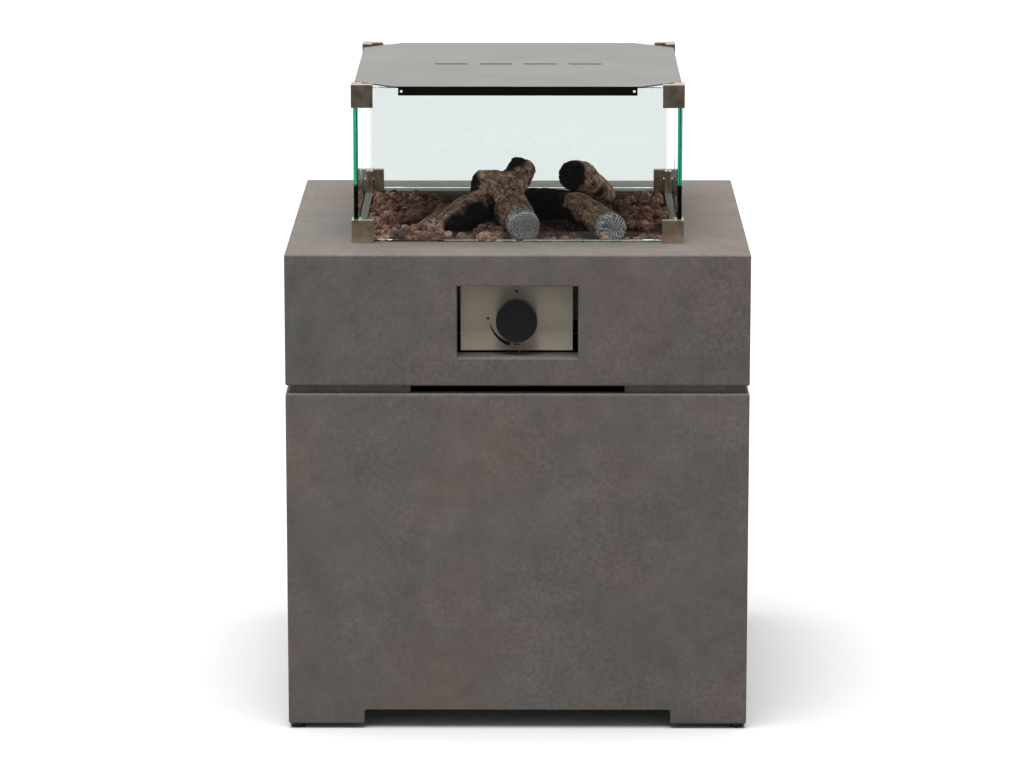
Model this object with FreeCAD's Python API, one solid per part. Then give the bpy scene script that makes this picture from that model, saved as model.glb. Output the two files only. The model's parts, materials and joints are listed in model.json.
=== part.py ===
import FreeCAD, Part
import math
import os
import random

# Free-standing square gas fire pit in fibre cement, with a stone bed, ceramic logs and a glass guard.
# Millimetres. The origin is on the floor at the centre of the footprint, X right, Y back, Z up.
# The control recess faces -Y.

# Body, from the floor to the tabletop
body_side = 500.0
foot_height = 5.0
base_height = 369.0
gap_height = 8.5
upper_height = 143.5
wall = 15.0
table_thickness = 15.0
edge_round = 2.5
ring_inset = 6.5
vent_width = 231.0
leg_gap_width = 334.4
leg_gap_height = 16.6
leg_gap_round = 3.0
post_side = 30.0
foot_radius = 7.75
foot_inset = 2.2
stem_radius = 3.0
stem_length = 12.0

# Common screw and its bore
screw_radius = 2.0
screw_length = 10.0
screw_head_radius = 3.8
screw_head_height = 2.2
bore_clearance = 0.05
bore_end_gap = 0.3
fit_clearance = 0.3

# Floor plate inside the base
floor_sheet = 2.0
floor_rise = 24.0
floor_flange = 15.0
floor_screw_place = 100.0
floor_slot_length = 60.0
floor_slot_width = 8.0
floor_slot_pitch = 24.0
floor_slot_count = 7

# Straps that join the base to the upper housing
strap_width = 30.0
strap_thickness = 3.0
strap_below = 22.0
strap_above = 30.0
strap_place = 150.0

# Rear service door on two pivot pins
door_opening_width = 262.0
door_opening_bottom = 60.0
door_lintel = 29.0
door_gap = 2.0
door_hinge_gap = 3.5
pivot_inset = 9.0
pivot_radius = 3.0
pivot_in_wall = 12.0
pivot_in_door = 8.0
pivot_collar_radius = 6.0
pull_radius = 14.0
pull_inset = 24.0
catch_height = 30.0
catch_reach = 12.0
catch_depth = 12.0
catch_wall_width = 22.0
keeper_thickness = 1.5

# Control recess in the front of the upper housing
recess_width = 130.4
recess_height = 79.0
recess_sill = 30.2
recess_depth = 35.0
recess_round = 1.5
collar_wall = 12.0
panel_width = 121.5
panel_shift = -1.0
panel_sheet = 1.5
panel_bottom_gap = 2.2
panel_overlap = 13.0
panel_flange = 8.0
panel_screw_place = 45.0
knob_axis_rise = 67.5

# Knob, spindle and push plunger
knob_radius = 22.2
knob_length = 18.5
knob_bevel = 1.6
knob_skirt = 3.2
knob_cavity = 8.0
knob_hub_radius = 8.0
knob_dot_radius = 1.2
knob_dot_depth = 0.5
knob_dot_inset = 5.0
push_travel = 4.0
knob_stop_gap = 0.5
spindle_radius = 4.0
spindle_front_cover = 2.5
plunger_radius = 6.0
plunger_proud = 1.0
plunger_length = 24.0
plunger_end_wall = 2.0
running_clearance = 0.05
grub_radius = 2.0
grub_length = 8.0

# Gas valve behind the panel
valve_width = 40.0
valve_height = 36.0
valve_round = 2.0
valve_end_wall = 4.0
valve_screw_place = 14.0
port_depth = 6.0
port_setback = 15.5
outlet_place = 9.0
inlet_place = -11.0
spring_wire_radius = 0.5
spring_turns = 4
spring_packed_length = 5.5
piezo_width = 16.0
piezo_depth = 28.0
piezo_height = 25.0

# Gas inlet spigot, feed pipe and nuts
nut_height = 8.0
outlet_nut_flats = 14.0
inlet_nut_flats = 17.0
spigot_radius = 4.0
spigot_length = 34.0
spigot_bore = 2.5
pipe_radius = 4.0
pipe_bend = 15.0
pipe_drop = 40.0

# Stone pan, its brackets and the heat shield
table_border = 81.0
pan_gap = 2.5
pan_sheet = 1.5
pan_drop = 1.75
pan_depth = 56.75
drain_radius = 4.0
drain_place = 120.0
bracket_width = 30.0
bracket_sheet = 2.0
bracket_flange = 31.0
bracket_toe = 19.0
bracket_place = 100.0
bracket_screw_inset = 16.0
shield_width = 140.0
shield_sheet = 1.0
shield_height = 71.0
shield_flange = 20.0
shield_setback = 5.5
shield_screw_place = 50.0

# Burner under the stones
drum_radius = 60.0
drum_height = 18.0
drum_sheet = 1.5
drum_port_radius = 1.75
drum_port_count = 24
neck_radius = 11.0
neck_bore = 9.0
neck_tail = 12.0
locknut_height = 8.0
locknut_flats = 34.0
mixer_wall = 2.0
mixer_length = 45.0
air_window_width = 9.0
air_window_height = 14.0
air_window_rise = 14.0
holder_height = 8.0
nozzle_flats = 9.0
nozzle_height = 10.0
orifice_radius = 0.5

# Igniter and thermocouple beside the burner
probe_row = -80.0
probe_place = 10.0
electrode_radius = 3.0
electrode_length = 40.0
electrode_below = 23.0
spark_wire_radius = 0.8
spark_wire_length = 10.0
thermocouple_radius = 2.0
thermocouple_length = 44.0
thermocouple_below = 17.0
probe_hole_clearance = 0.2
thermocouple_lead_radius = 1.25
thermocouple_lead_bend = 13.0
thermocouple_lead_drop = 14.0
thermocouple_lead_setback = 5.5
ignition_lead_radius = 2.0
ignition_lead_bend = 20.0
ignition_lead_drop = 30.0
probe_bridge_width = 40.0
probe_bridge_depth = 20.0
probe_bridge_rise = 13.0
probe_bridge_sheet = 2.0
hood_width = 48.0
hood_depth = 40.0
hood_height = 34.0
hood_sheet = 1.0
hood_drum_gap = 2.0
hood_slot_count = 3

# Stones
bed_drop = 12.0
stone_pitch = 36.0
stone_gap = 0.5
stone_least_reach = 5.0
stone_pile_height = 26.0
stone_pile_pitch = 29.0
heap_side_distance = 82.0
heap_back_distance = 90.0
front_row_distance = 102.0
low_row_start_distance = 96.0
low_row_height = 8.0
front_stone_far_distance = 50.0
front_stone_near_distance = 16.0
front_stone_height = 17.0

# Glass guard on its eight corner clamps
guard_margin = 11.0
glass_thickness = 5.0
glass_height = 167.0
clamp_wall = 2.0
clamp_depth = 11.0
clamp_leg = 23.5
clamp_height = 25.0
clamp_plate = 3.0
pane_corner_gap = 10.25
clamp_screw_inset = 7.0
clamp_screw_head = 3.0
clamp_screw_head_height = 1.6

# Lid that rests on the glass
lid_sheet = 1.5
lid_glass_gap = 0.5
lid_side_gap = 0.5
lid_corner_clip = 45.0
lid_flange_relief = 3.5
lid_flange_drop = 8.5
lid_hole_radius = 1.5
lid_hole_inset = 3.5
lid_hole_drop = 5.5
lid_slot_length = 38.0
lid_slot_width = 8.0
lid_slot_pitch = 50.0
lid_slot_count = 4

# Levels and faces that follow from the sizes above
half = body_side / 2
inner_half = half - wall
base_top = foot_height + base_height
housing_bottom = base_top + gap_height
table_top = housing_bottom + upper_height
table_under = table_top - table_thickness
opening_half = half - table_border
pan_half = opening_half - pan_gap
pan_inner_half = pan_half - pan_sheet
pan_top = table_top - pan_drop
pan_under = pan_top - pan_depth
pan_floor = pan_under + pan_sheet
bed_top = table_top - bed_drop
sill = housing_bottom + recess_sill
panel_face = -half + recess_depth
panel_back = panel_face + panel_sheet
knob_axis = housing_bottom + knob_axis_rise
knob_back = panel_face - push_travel - knob_stop_gap
knob_front = knob_back - knob_length
valve_bottom = knob_axis - valve_height / 2
plunger_front = panel_face - plunger_proud
plunger_back = plunger_front + plunger_length
valve_bore_end = plunger_back + push_travel + spring_packed_length
valve_back = valve_bore_end + valve_end_wall
port_row = panel_back + port_setback
mixer_top = pan_under - locknut_height
mixer_bottom = mixer_top - mixer_length
guard_half = opening_half + guard_margin
glass_outer = guard_half - clamp_wall
glass_bottom = table_top + clamp_plate
glass_top = glass_bottom + glass_height
pane_half = guard_half - pane_corner_gap
lid_half = glass_outer - lid_side_gap
lid_flange_half = lid_half - lid_corner_clip - lid_flange_relief
pivot_x = door_opening_width / 2 - door_hinge_gap - pivot_inset
pivot_y = half - wall / 2
door_opening_top = base_top - door_lintel

V = FreeCAD.Vector
RIGHT = V(1, 0, 0)
LEFT = V(-1, 0, 0)
BACK = V(0, 1, 0)
FRONT = V(0, -1, 0)
UP = V(0, 0, 1)
DOWN = V(0, 0, -1)
CENTRE = V(0, 0, 0)
PAST = 1.0


# Plain shapes

def block(x0, x1, y0, y1, z0, z1):
    return Part.makeBox(x1 - x0, y1 - y0, z1 - z0, V(x0, y0, z0))


def rounded_block(x0, x1, y0, y1, z0, z1, radius):
    solid = block(x0, x1, y0, y1, z0, z1)
    return solid.makeFillet(radius, solid.Edges)


def rod(start, direction, radius, length):
    return Part.makeCylinder(radius, length, start, direction)


def hex_prism(start, direction, across_flats, length):
    corner = across_flats / math.sqrt(3)
    points = []
    for step in range(6):
        angle = math.radians(60 * step)
        points.append(V(corner * math.cos(angle), corner * math.sin(angle), 0))
    prism = Part.Face(Part.makePolygon(points + points[:1])).extrude(V(0, 0, length))
    prism.Placement = FreeCAD.Placement(start, FreeCAD.Rotation(UP, direction))
    return prism


def fused(solids):
    return solids[0].multiFuse(solids[1:]).removeSplitter()


def on_four_sides(shape):
    copies = []
    for quarter in range(4):
        copy = shape.copy()
        copy.rotate(CENTRE, UP, 90 * quarter)
        copies.append(copy)
    return copies


def screw(seat, direction, length=screw_length, head=screw_head_radius, head_height=screw_head_height):
    top = seat - direction * head_height
    solid = fused([rod(seat, direction, screw_radius, length), rod(top, direction, head, head_height)])
    return solid.cut(hex_prism(top, direction, head, head_height / 2))


def bore(seat, direction, length=screw_length):
    return rod(seat, direction, screw_radius + bore_clearance, length + bore_end_gap)


def through_hole(point, direction, radius, length):
    return rod(point - direction * PAST, direction, radius, length + 2 * PAST)


# Bent tubes: straight runs joined by tangent arcs

def corner_arc(start, corner, end):
    middle = (start + end) * 0.5
    half_chord = (end - start).Length / 2
    leg = (corner - start).Length
    on_arc = middle + (corner - middle) * (half_chord / (half_chord + leg))
    return Part.Arc(start, on_arc, end).toShape()


def bent_path(points, radius):
    edges = []
    here = points[0]
    for before, corner, after in zip(points, points[1:], points[2:]):
        backward = (before - corner).normalize()
        forward = (after - corner).normalize()
        turn = math.pi - backward.getAngle(forward)
        leg = radius * math.tan(turn / 2)
        edges.append(Part.LineSegment(here, corner + backward * leg).toShape())
        edges.append(corner_arc(corner + backward * leg, corner, corner + forward * leg))
        here = corner + forward * leg
    edges.append(Part.LineSegment(here, points[-1]).toShape())
    return Part.Wire(edges)


def swept(name, path, start, direction, radius):
    profile = Part.Wire(Part.makeCircle(radius, start, direction))
    solid = path.makePipeShell([profile], True, False)
    expected = math.pi * radius ** 2 * path.Length
    print("%s volume over section times length: %.4f" % (name, solid.Volume / expected))
    return solid


def save(name, shapes):
    solids = []
    for shape in shapes:
        solids.extend(shape.Solids)
    whole = solids[0] if len(solids) == 1 else Part.makeCompound(solids)
    print("%-22s %3d solids  valid %s  %10.1f mm3" % (name, len(solids), whole.isValid(), whole.Volume))
    whole.exportStep("parts/" + name + ".step")


# Body shells

def strap_screw_seats():
    y = -inner_half + strap_thickness
    low = V(strap_place, y, base_top - strap_below / 2)
    high = V(strap_place, y, housing_bottom + strap_above / 2)
    return [low, high]


def floor_screw_seats():
    z = foot_height + floor_rise + floor_sheet + floor_flange / 2 - floor_sheet / 2
    y = -inner_half + floor_sheet
    return [V(-floor_screw_place, y, z), V(floor_screw_place, y, z)]


def bores_on_four_sides(seats, sheet):
    cutters = []
    for seat in seats:
        cutters.extend(on_four_sides(bore(seat + FRONT * sheet, FRONT, screw_length - sheet)))
    return cutters


def foot_centre():
    place = half - foot_inset - foot_radius
    return V(place, place, foot_height)


def base_cabinet():
    ring_half = half - ring_inset
    shell = rounded_block(-half, half, -half, half, foot_height, base_top, edge_round)
    ring = block(-ring_half, ring_half, -ring_half, ring_half, base_top - edge_round, housing_bottom)
    hollow = block(-inner_half, inner_half, -inner_half, inner_half, 0, housing_bottom + PAST)
    near = inner_half - post_side
    posts = on_four_sides(block(near, inner_half + PAST, near, inner_half + PAST, foot_height, base_top))
    leg_gap = block(-leg_gap_width / 2, leg_gap_width / 2, -half - PAST, half + PAST,
                    0, foot_height + leg_gap_height)
    top_corners = [edge for edge in leg_gap.Edges
                   if edge.BoundBox.YLength > body_side and edge.BoundBox.ZMin > foot_height]
    leg_gap = leg_gap.makeFillet(leg_gap_round, top_corners)
    vent = block(-vent_width / 2, vent_width / 2, -half, half, base_top, housing_bottom + PAST)
    doorway = block(-door_opening_width / 2, door_opening_width / 2, inner_half - PAST, half + PAST,
                    door_opening_bottom, door_opening_top)
    cutters = on_four_sides(leg_gap)[:2] + on_four_sides(vent)[:2] + [doorway]
    cutters += on_four_sides(rod(foot_centre(), UP, stem_radius + bore_clearance, stem_length + bore_end_gap))
    low_strap_seat = strap_screw_seats()[0]
    cutters += bores_on_four_sides([low_strap_seat], strap_thickness)
    cutters += bores_on_four_sides(floor_screw_seats(), floor_sheet)
    pivot_bore = pivot_radius + bore_clearance
    depth = pivot_in_wall + bore_end_gap
    cutters.append(rod(V(pivot_x, pivot_y, door_opening_top), UP, pivot_bore, depth))
    cutters.append(rod(V(pivot_x, pivot_y, door_opening_bottom), DOWN, pivot_bore, depth))
    return shell.fuse(ring).cut(hollow).multiFuse(posts).cut(cutters)


def upper_housing():
    shell = rounded_block(-half, half, -half, half, housing_bottom, table_top, edge_round)
    cavity = block(-inner_half, inner_half, -inner_half, inner_half, housing_bottom - PAST, table_under)
    opening = block(-opening_half, opening_half, -opening_half, opening_half,
                    table_under - PAST, table_top + PAST)
    collar_half = recess_width / 2 + collar_wall
    collar = block(-collar_half, collar_half, -inner_half - PAST, panel_face,
                   sill - collar_wall, table_under + PAST)
    recess = block(-recess_width / 2, recess_width / 2, -half - PAST, panel_face + PAST,
                   sill, sill + recess_height)
    housing = shell.cut([cavity, opening]).fuse(collar).cut(recess)
    mouth = [edge for edge in housing.Edges
             if edge.BoundBox.YMax < -half + 0.01 and edge.BoundBox.XLength < recess_width + 0.01
             and abs(edge.CenterOfMass.x) < recess_width / 2 + 0.01
             and sill - 0.01 < edge.CenterOfMass.z < sill + recess_height + 0.01]
    housing = housing.makeFillet(recess_round, mouth)
    high_strap_seat = strap_screw_seats()[1]
    cutters = bores_on_four_sides([high_strap_seat], strap_thickness)
    for seat in bracket_screw_seats():
        cutters.append(bore(seat + UP * bracket_sheet, UP, screw_length - bracket_sheet))
    for seat in shield_screw_seats():
        cutters.append(bore(seat + UP * shield_sheet, UP, screw_length - shield_sheet))
    for seat in panel_screw_seats():
        cutters.append(bore(seat + FRONT * panel_sheet, FRONT, screw_length - panel_sheet))
    return housing.cut(cutters)


def feet():
    foot = rod(foot_centre() + DOWN * foot_height, UP, foot_radius, foot_height)
    return on_four_sides(foot.fuse(rod(foot_centre(), UP, stem_radius, stem_length)))


def base_floor():
    bottom = foot_height + floor_rise
    plate = block(-inner_half, inner_half, -inner_half, inner_half, bottom, bottom + floor_sheet)
    near = inner_half - post_side - fit_clearance
    corners = on_four_sides(block(near, half, near, half, bottom - PAST, bottom + floor_flange + PAST))
    flange = block(-near, near, -inner_half, -inner_half + floor_sheet, bottom, bottom + floor_flange)
    floor = fused([plate] + on_four_sides(flange)).cut(corners)
    slots = []
    for row in (-1, 1):
        for place in range(floor_slot_count):
            x = (place - (floor_slot_count - 1) / 2) * floor_slot_pitch
            y = row * floor_slot_length
            slots.append(block(x - floor_slot_width / 2, x + floor_slot_width / 2, y - floor_slot_length / 2,
                               y + floor_slot_length / 2, bottom - PAST, bottom + floor_sheet + PAST))
    for seat in floor_screw_seats():
        hole = through_hole(seat, FRONT, screw_radius + bore_clearance, floor_sheet)
        slots.extend(on_four_sides(hole))
    return floor.cut(slots)


def floor_screws():
    solids = []
    for seat in floor_screw_seats():
        solids.extend(on_four_sides(screw(seat, FRONT)))
    return solids


def tie_straps():
    strap = block(strap_place - strap_width / 2, strap_place + strap_width / 2, -inner_half,
                  -inner_half + strap_thickness, base_top - strap_below, housing_bottom + strap_above)
    holes = [through_hole(seat, FRONT, screw_radius + bore_clearance, strap_thickness)
             for seat in strap_screw_seats()]
    return on_four_sides(strap.cut(holes))


def strap_screws():
    solids = []
    for seat in strap_screw_seats():
        solids.extend(on_four_sides(screw(seat, FRONT)))
    return solids


# Service door

def rear_door():
    door = block(pivot_x + pivot_inset - door_width(), pivot_x + pivot_inset, inner_half, half,
                 door_opening_bottom + door_gap, door_opening_top - door_gap)
    pull = through_hole(V(pull_x(), inner_half, pull_z()), BACK, pull_radius, wall)
    depth = pivot_in_door + bore_end_gap
    radius = pivot_radius + bore_clearance
    top_bore = rod(V(pivot_x, pivot_y, door_opening_top - door_gap), DOWN, radius, depth)
    low_bore = rod(V(pivot_x, pivot_y, door_opening_bottom + door_gap), UP, radius, depth)
    return door.cut([pull, top_bore, low_bore])


def door_width():
    return door_opening_width - door_gap - door_hinge_gap


def pull_x():
    return -door_opening_width / 2 + door_gap + pull_inset


def pull_z():
    return (door_opening_bottom + door_opening_top) / 2


def door_pivots():
    collar = door_gap - fit_clearance
    length = pivot_in_wall + door_gap + pivot_in_door
    low = rod(V(pivot_x, pivot_y, door_opening_bottom - pivot_in_wall), UP, pivot_radius, length)
    low = low.fuse(rod(V(pivot_x, pivot_y, door_opening_bottom), UP, pivot_collar_radius, collar))
    high = rod(V(pivot_x, pivot_y, door_opening_top + pivot_in_wall), DOWN, pivot_radius, length)
    high = high.fuse(rod(V(pivot_x, pivot_y, door_opening_top), DOWN, pivot_collar_radius, collar))
    return [low, high]


def catch_bottom():
    return pull_z() - pull_radius - 2 * catch_height


def door_magnet():
    edge = -door_opening_width / 2
    front = inner_half - keeper_thickness - fit_clearance
    bottom = catch_bottom()
    body = block(edge - catch_wall_width, edge + door_gap + catch_reach, front - catch_depth, front,
                 bottom, bottom + catch_height)
    pad = block(edge - catch_wall_width, edge - door_gap, front - catch_depth, inner_half,
                bottom, bottom + catch_height)
    return fused([body, pad])


def door_keeper():
    edge = -door_opening_width / 2 + door_gap
    return block(edge, edge + catch_reach, inner_half - keeper_thickness, inner_half,
                 catch_bottom(), catch_bottom() + catch_height)


# Control panel, valve and knob

def panel_screw_seats():
    z = sill + recess_height + panel_overlap / 2
    return [V(panel_shift + side * panel_screw_place, panel_back, z) for side in (-1, 1)]


def valve_screw_seats():
    return [V(panel_shift - valve_screw_place, panel_face, knob_axis),
            V(panel_shift + valve_screw_place, panel_face, knob_axis)]


def axis_point(y):
    return V(panel_shift, y, knob_axis)


def control_panel():
    left = panel_shift - panel_width / 2
    right = panel_shift + panel_width / 2
    bottom = sill + panel_bottom_gap
    top = sill + recess_height + panel_overlap
    plate = block(left, right, panel_face, panel_back, bottom, top)
    left_flange = block(left, left + panel_sheet, panel_face, panel_back + panel_flange, bottom, top)
    right_flange = block(right - panel_sheet, right, panel_face, panel_back + panel_flange, bottom, top)
    holes = [through_hole(axis_point(panel_face), BACK, plunger_radius + fit_clearance, panel_sheet)]
    for seat in valve_screw_seats() + panel_screw_seats():
        start = V(seat.x, panel_face, seat.z)
        holes.append(through_hole(start, BACK, screw_radius + bore_clearance, panel_sheet))
    return fused([plate, left_flange, right_flange]).cut(holes)


def gas_valve():
    x0 = panel_shift - valve_width / 2
    body = rounded_block(x0, x0 + valve_width, panel_back, valve_back, valve_bottom,
                         valve_bottom + valve_height, valve_round)
    bore_length = valve_bore_end - panel_back
    radius = plunger_radius + running_clearance
    cutters = [rod(axis_point(panel_back - PAST), BACK, radius, bore_length + PAST)]
    for seat in valve_screw_seats():
        cutters.append(bore(seat + BACK * panel_sheet, BACK, screw_length - panel_sheet))
    for place in (outlet_place, inlet_place):
        port = V(panel_shift + place, port_row, valve_bottom - PAST)
        cutters.append(rod(port, UP, pipe_radius + bore_clearance, port_depth + PAST))
    return body.cut(cutters)


def valve_spring():
    radius = plunger_radius - running_clearance - 2 * spring_wire_radius
    start_y = plunger_back + spring_wire_radius
    length = valve_bore_end - plunger_back - 2 * spring_wire_radius
    steps = 4 * spring_turns

    def turn_point(step):
        angle = math.pi / 2 * step
        outward = V(radius * math.cos(angle), 0, radius * math.sin(angle))
        return axis_point(start_y + length * step / steps) + outward

    def turn_direction(step):
        angle = math.pi / 2 * step
        rise = length / steps / (math.pi / 2)
        return V(-radius * math.sin(angle), rise, radius * math.cos(angle)).normalize()

    edges = []
    for step in range(steps):
        start, end = turn_point(step), turn_point(step + 1)
        leaving, arriving = turn_direction(step), turn_direction(step + 1)
        chord = end - start
        both = leaving + arriving
        spread = 1 - leaving.dot(arriving)
        along = chord.dot(both)
        leg = (-along + math.sqrt(along ** 2 + 2 * spread * chord.dot(chord))) / (2 * spread)
        first = start + leaving * leg
        second = end - arriving * leg
        meeting = (first + second) * 0.5
        edges.append(corner_arc(start, first, meeting))
        edges.append(corner_arc(meeting, second, end))
    path = Part.Wire(edges)
    least_gap = length / spring_turns - 2 * spring_wire_radius
    print("valve_spring least gap between turns: %.2f" % least_gap)
    return swept("valve_spring", path, turn_point(0), turn_direction(0), spring_wire_radius)


def valve_plunger():
    sleeve = rod(axis_point(plunger_front), BACK, plunger_radius, plunger_length)
    depth = plunger_length - plunger_end_wall
    radius = spindle_radius + running_clearance
    return sleeve.cut(rod(axis_point(plunger_front - PAST), BACK, radius, depth + PAST))


def valve_spindle():
    front = knob_front + spindle_front_cover
    end = plunger_back - plunger_end_wall - fit_clearance
    spindle = rod(axis_point(front), BACK, spindle_radius, end - front)
    flat = block(panel_shift - spindle_radius, panel_shift + spindle_radius, front, knob_back,
                 knob_axis - spindle_radius, knob_axis - spindle_radius * 0.8)
    return spindle.cut(flat)


def grub_start():
    return V(panel_shift, (knob_front + knob_back - knob_cavity) / 2, knob_axis - spindle_radius * 0.8)


def control_knob():
    disc = rod(axis_point(knob_front), BACK, knob_radius, knob_length)
    rim = [edge for edge in disc.Edges if edge.BoundBox.YMax < knob_front + 0.01]
    disc = disc.makeFillet(knob_bevel, rim)
    cavity = rod(axis_point(knob_back - knob_cavity), BACK, knob_radius - knob_skirt, knob_cavity + PAST)
    hub = rod(axis_point(knob_back - knob_cavity - PAST), BACK, knob_hub_radius, knob_cavity + PAST)
    knob = disc.cut(cavity).fuse(hub)
    front = knob_front + spindle_front_cover - bore_end_gap
    spindle_bore = rod(axis_point(front), BACK, spindle_radius + bore_clearance, knob_length)
    dot = rod(axis_point(knob_front - PAST) + UP * (knob_radius - knob_dot_inset), BACK,
              knob_dot_radius, knob_dot_depth + PAST)
    grub_hole = rod(grub_start() + UP * PAST, DOWN, grub_radius + bore_clearance, knob_radius)
    return knob.cut([spindle_bore, dot, grub_hole])


def piezo_igniter():
    x0 = panel_shift + valve_width / 2
    return rounded_block(x0, x0 + piezo_width, panel_back, panel_back + piezo_depth,
                         knob_axis - piezo_height / 2, knob_axis + piezo_height / 2, valve_round)


# Gas feed

def inlet_point(z):
    return V(panel_shift + inlet_place, port_row, z)


def gas_inlet():
    nut = hex_prism(inlet_point(valve_bottom), DOWN, inlet_nut_flats, nut_height)
    stub = rod(inlet_point(valve_bottom - PAST), UP, spigot_radius, port_depth - bore_end_gap + PAST)
    spigot = rod(inlet_point(valve_bottom - nut_height), DOWN, spigot_radius, spigot_length)
    bottom = valve_bottom - nut_height - spigot_length
    reach = spigot_length + nut_height + port_depth + 2 * PAST
    passage = rod(inlet_point(bottom - PAST), UP, spigot_bore, reach)
    return fused([nut, stub, spigot]).cut(passage)


def gas_pipe():
    x = panel_shift + outlet_place
    start = V(x, port_row, valve_bottom + port_depth - bore_end_gap)
    level = valve_bottom - pipe_drop
    end = V(0, 0, mixer_bottom + port_depth - bore_end_gap)
    points = [start, V(x, port_row, level), V(0, 0, level), end]
    return swept("gas_pipe", bent_path(points, pipe_bend), start, DOWN, pipe_radius)


def pipe_nuts():
    nuts = []
    for top in (V(panel_shift + outlet_place, port_row, valve_bottom), V(0, 0, mixer_bottom)):
        hole = through_hole(top, DOWN, pipe_radius + bore_clearance, nut_height)
        nuts.append(hex_prism(top, DOWN, outlet_nut_flats, nut_height).cut(hole))
    return nuts


def injector():
    holder = rod(V(0, 0, mixer_bottom), UP, neck_radius, holder_height)
    nozzle = hex_prism(V(0, 0, mixer_bottom + holder_height - PAST), UP, nozzle_flats, nozzle_height + PAST)
    orifice = rod(V(0, 0, mixer_bottom), UP, orifice_radius, holder_height + nozzle_height + PAST)
    port = rod(V(0, 0, mixer_bottom - PAST), UP, pipe_radius + bore_clearance, port_depth + PAST)
    return fused([holder, nozzle]).cut([orifice, port])


def mixer_tube():
    bottom = V(0, 0, mixer_bottom)
    bore_radius = neck_radius + bore_clearance
    reach = bore_radius + mixer_wall
    body = rod(bottom, UP, reach, mixer_length)
    z = mixer_bottom + air_window_rise
    window = block(-air_window_width / 2, air_window_width / 2, -reach - PAST, reach + PAST,
                   z, z + air_window_height)
    return body.cut([through_hole(bottom, UP, bore_radius, mixer_length)] + on_four_sides(window)[:2])


def burner_drum():
    drum = rod(V(0, 0, pan_floor), UP, drum_radius, drum_height)
    inside = rod(V(0, 0, pan_floor + drum_sheet), UP, drum_radius - drum_sheet, drum_height - 2 * drum_sheet)
    neck_length = pan_floor - mixer_top + neck_tail
    neck = rod(V(0, 0, pan_floor + drum_sheet), DOWN, neck_radius, neck_length + drum_sheet)
    through = neck_length + drum_sheet + 2 * PAST
    passage = rod(V(0, 0, pan_floor + drum_sheet + PAST), DOWN, neck_bore, through)
    ports = []
    for place in range(drum_port_count):
        angle = 2 * math.pi * place / drum_port_count
        outward = V(math.cos(angle), math.sin(angle), 0)
        start = V(0, 0, pan_floor + drum_height / 2) + outward * (drum_radius - 2 * drum_sheet)
        ports.append(rod(start, outward, drum_port_radius, 3 * drum_sheet))
    return drum.cut(inside).fuse(neck).cut([passage] + ports)


def burner_locknut():
    top = V(0, 0, pan_under)
    nut = hex_prism(top, DOWN, locknut_flats, locknut_height)
    return nut.cut(through_hole(top, DOWN, neck_radius + bore_clearance, locknut_height))


# Stone pan and what carries it

def burner_pan():
    pan = block(-pan_half, pan_half, -pan_half, pan_half, pan_under, pan_top)
    inside = block(-pan_inner_half, pan_inner_half, -pan_inner_half, pan_inner_half,
                   pan_floor, pan_top + PAST)
    holes = [through_hole(V(0, 0, pan_under), UP, neck_radius + probe_hole_clearance, pan_sheet)]
    holes.append(through_hole(V(probe_place, probe_row, pan_under), UP,
                              electrode_radius + probe_hole_clearance, pan_sheet))
    holes.append(through_hole(V(-probe_place, probe_row, pan_under), UP,
                              thermocouple_radius + probe_hole_clearance, pan_sheet))
    holes += on_four_sides(through_hole(V(drain_place, drain_place, pan_under), UP, drain_radius, pan_sheet))
    return pan.cut(inside).cut(holes)


def bracket_outer():
    return opening_half - bracket_sheet + bracket_flange


def bracket_screw_seats():
    x = bracket_outer() - bracket_screw_inset
    z = table_under - bracket_sheet
    return [V(side * x, end * bracket_place, z) for side in (-1, 1) for end in (-1, 1)]


def pan_brackets():
    inner = opening_half - bracket_sheet
    near = bracket_place - bracket_width / 2
    far = bracket_place + bracket_width / 2
    toe_under = pan_under - bracket_sheet
    strip = block(inner, opening_half, near, far, toe_under, table_under)
    flange = block(inner, bracket_outer(), near, far, table_under - bracket_sheet, table_under)
    toe = block(opening_half - bracket_toe, opening_half, near, far, toe_under, pan_under)
    hole = through_hole(bracket_screw_seats()[-1], UP, screw_radius + bore_clearance, bracket_sheet)
    right_back = fused([strip, flange, toe]).cut(hole)
    right_front = right_back.mirror(CENTRE, BACK)
    return [right_back, right_front, right_back.mirror(CENTRE, RIGHT), right_front.mirror(CENTRE, RIGHT)]


def bracket_screws():
    return [screw(seat, UP) for seat in bracket_screw_seats()]


def shield_screw_seats():
    y = -pan_half - shield_setback - shield_sheet - shield_flange / 2
    z = table_under - shield_sheet
    return [V(-shield_screw_place, y, z), V(shield_screw_place, y, z)]


def heat_shield():
    back = -pan_half - shield_setback
    sheet = block(-shield_width / 2, shield_width / 2, back - shield_sheet, back,
                  table_under - shield_height, table_under)
    flange = block(-shield_width / 2, shield_width / 2, back - shield_sheet - shield_flange, back,
                   table_under - shield_sheet, table_under)
    radius = screw_radius + bore_clearance
    holes = [through_hole(seat, UP, radius, shield_sheet) for seat in shield_screw_seats()]
    return fused([sheet, flange]).cut(holes)


def shield_screws():
    return [screw(seat, UP) for seat in shield_screw_seats()]


# Igniter, thermocouple and their leads

def electrode_foot():
    return V(probe_place, probe_row, pan_floor - electrode_below)


def thermocouple_foot():
    return V(-probe_place, probe_row, pan_floor - thermocouple_below)


def igniter_electrode():
    ceramic = rod(electrode_foot(), UP, electrode_radius, electrode_length)
    wire = rod(electrode_foot() + UP * electrode_length, UP, spark_wire_radius, spark_wire_length)
    return fused([ceramic, wire])


def thermocouple():
    tip = rod(thermocouple_foot(), UP, thermocouple_radius, thermocouple_length)
    end = [edge for edge in tip.Edges if edge.BoundBox.ZMin > pan_floor and edge.BoundBox.ZLength < 0.01]
    return tip.makeFillet(thermocouple_radius / 2, end)


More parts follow.
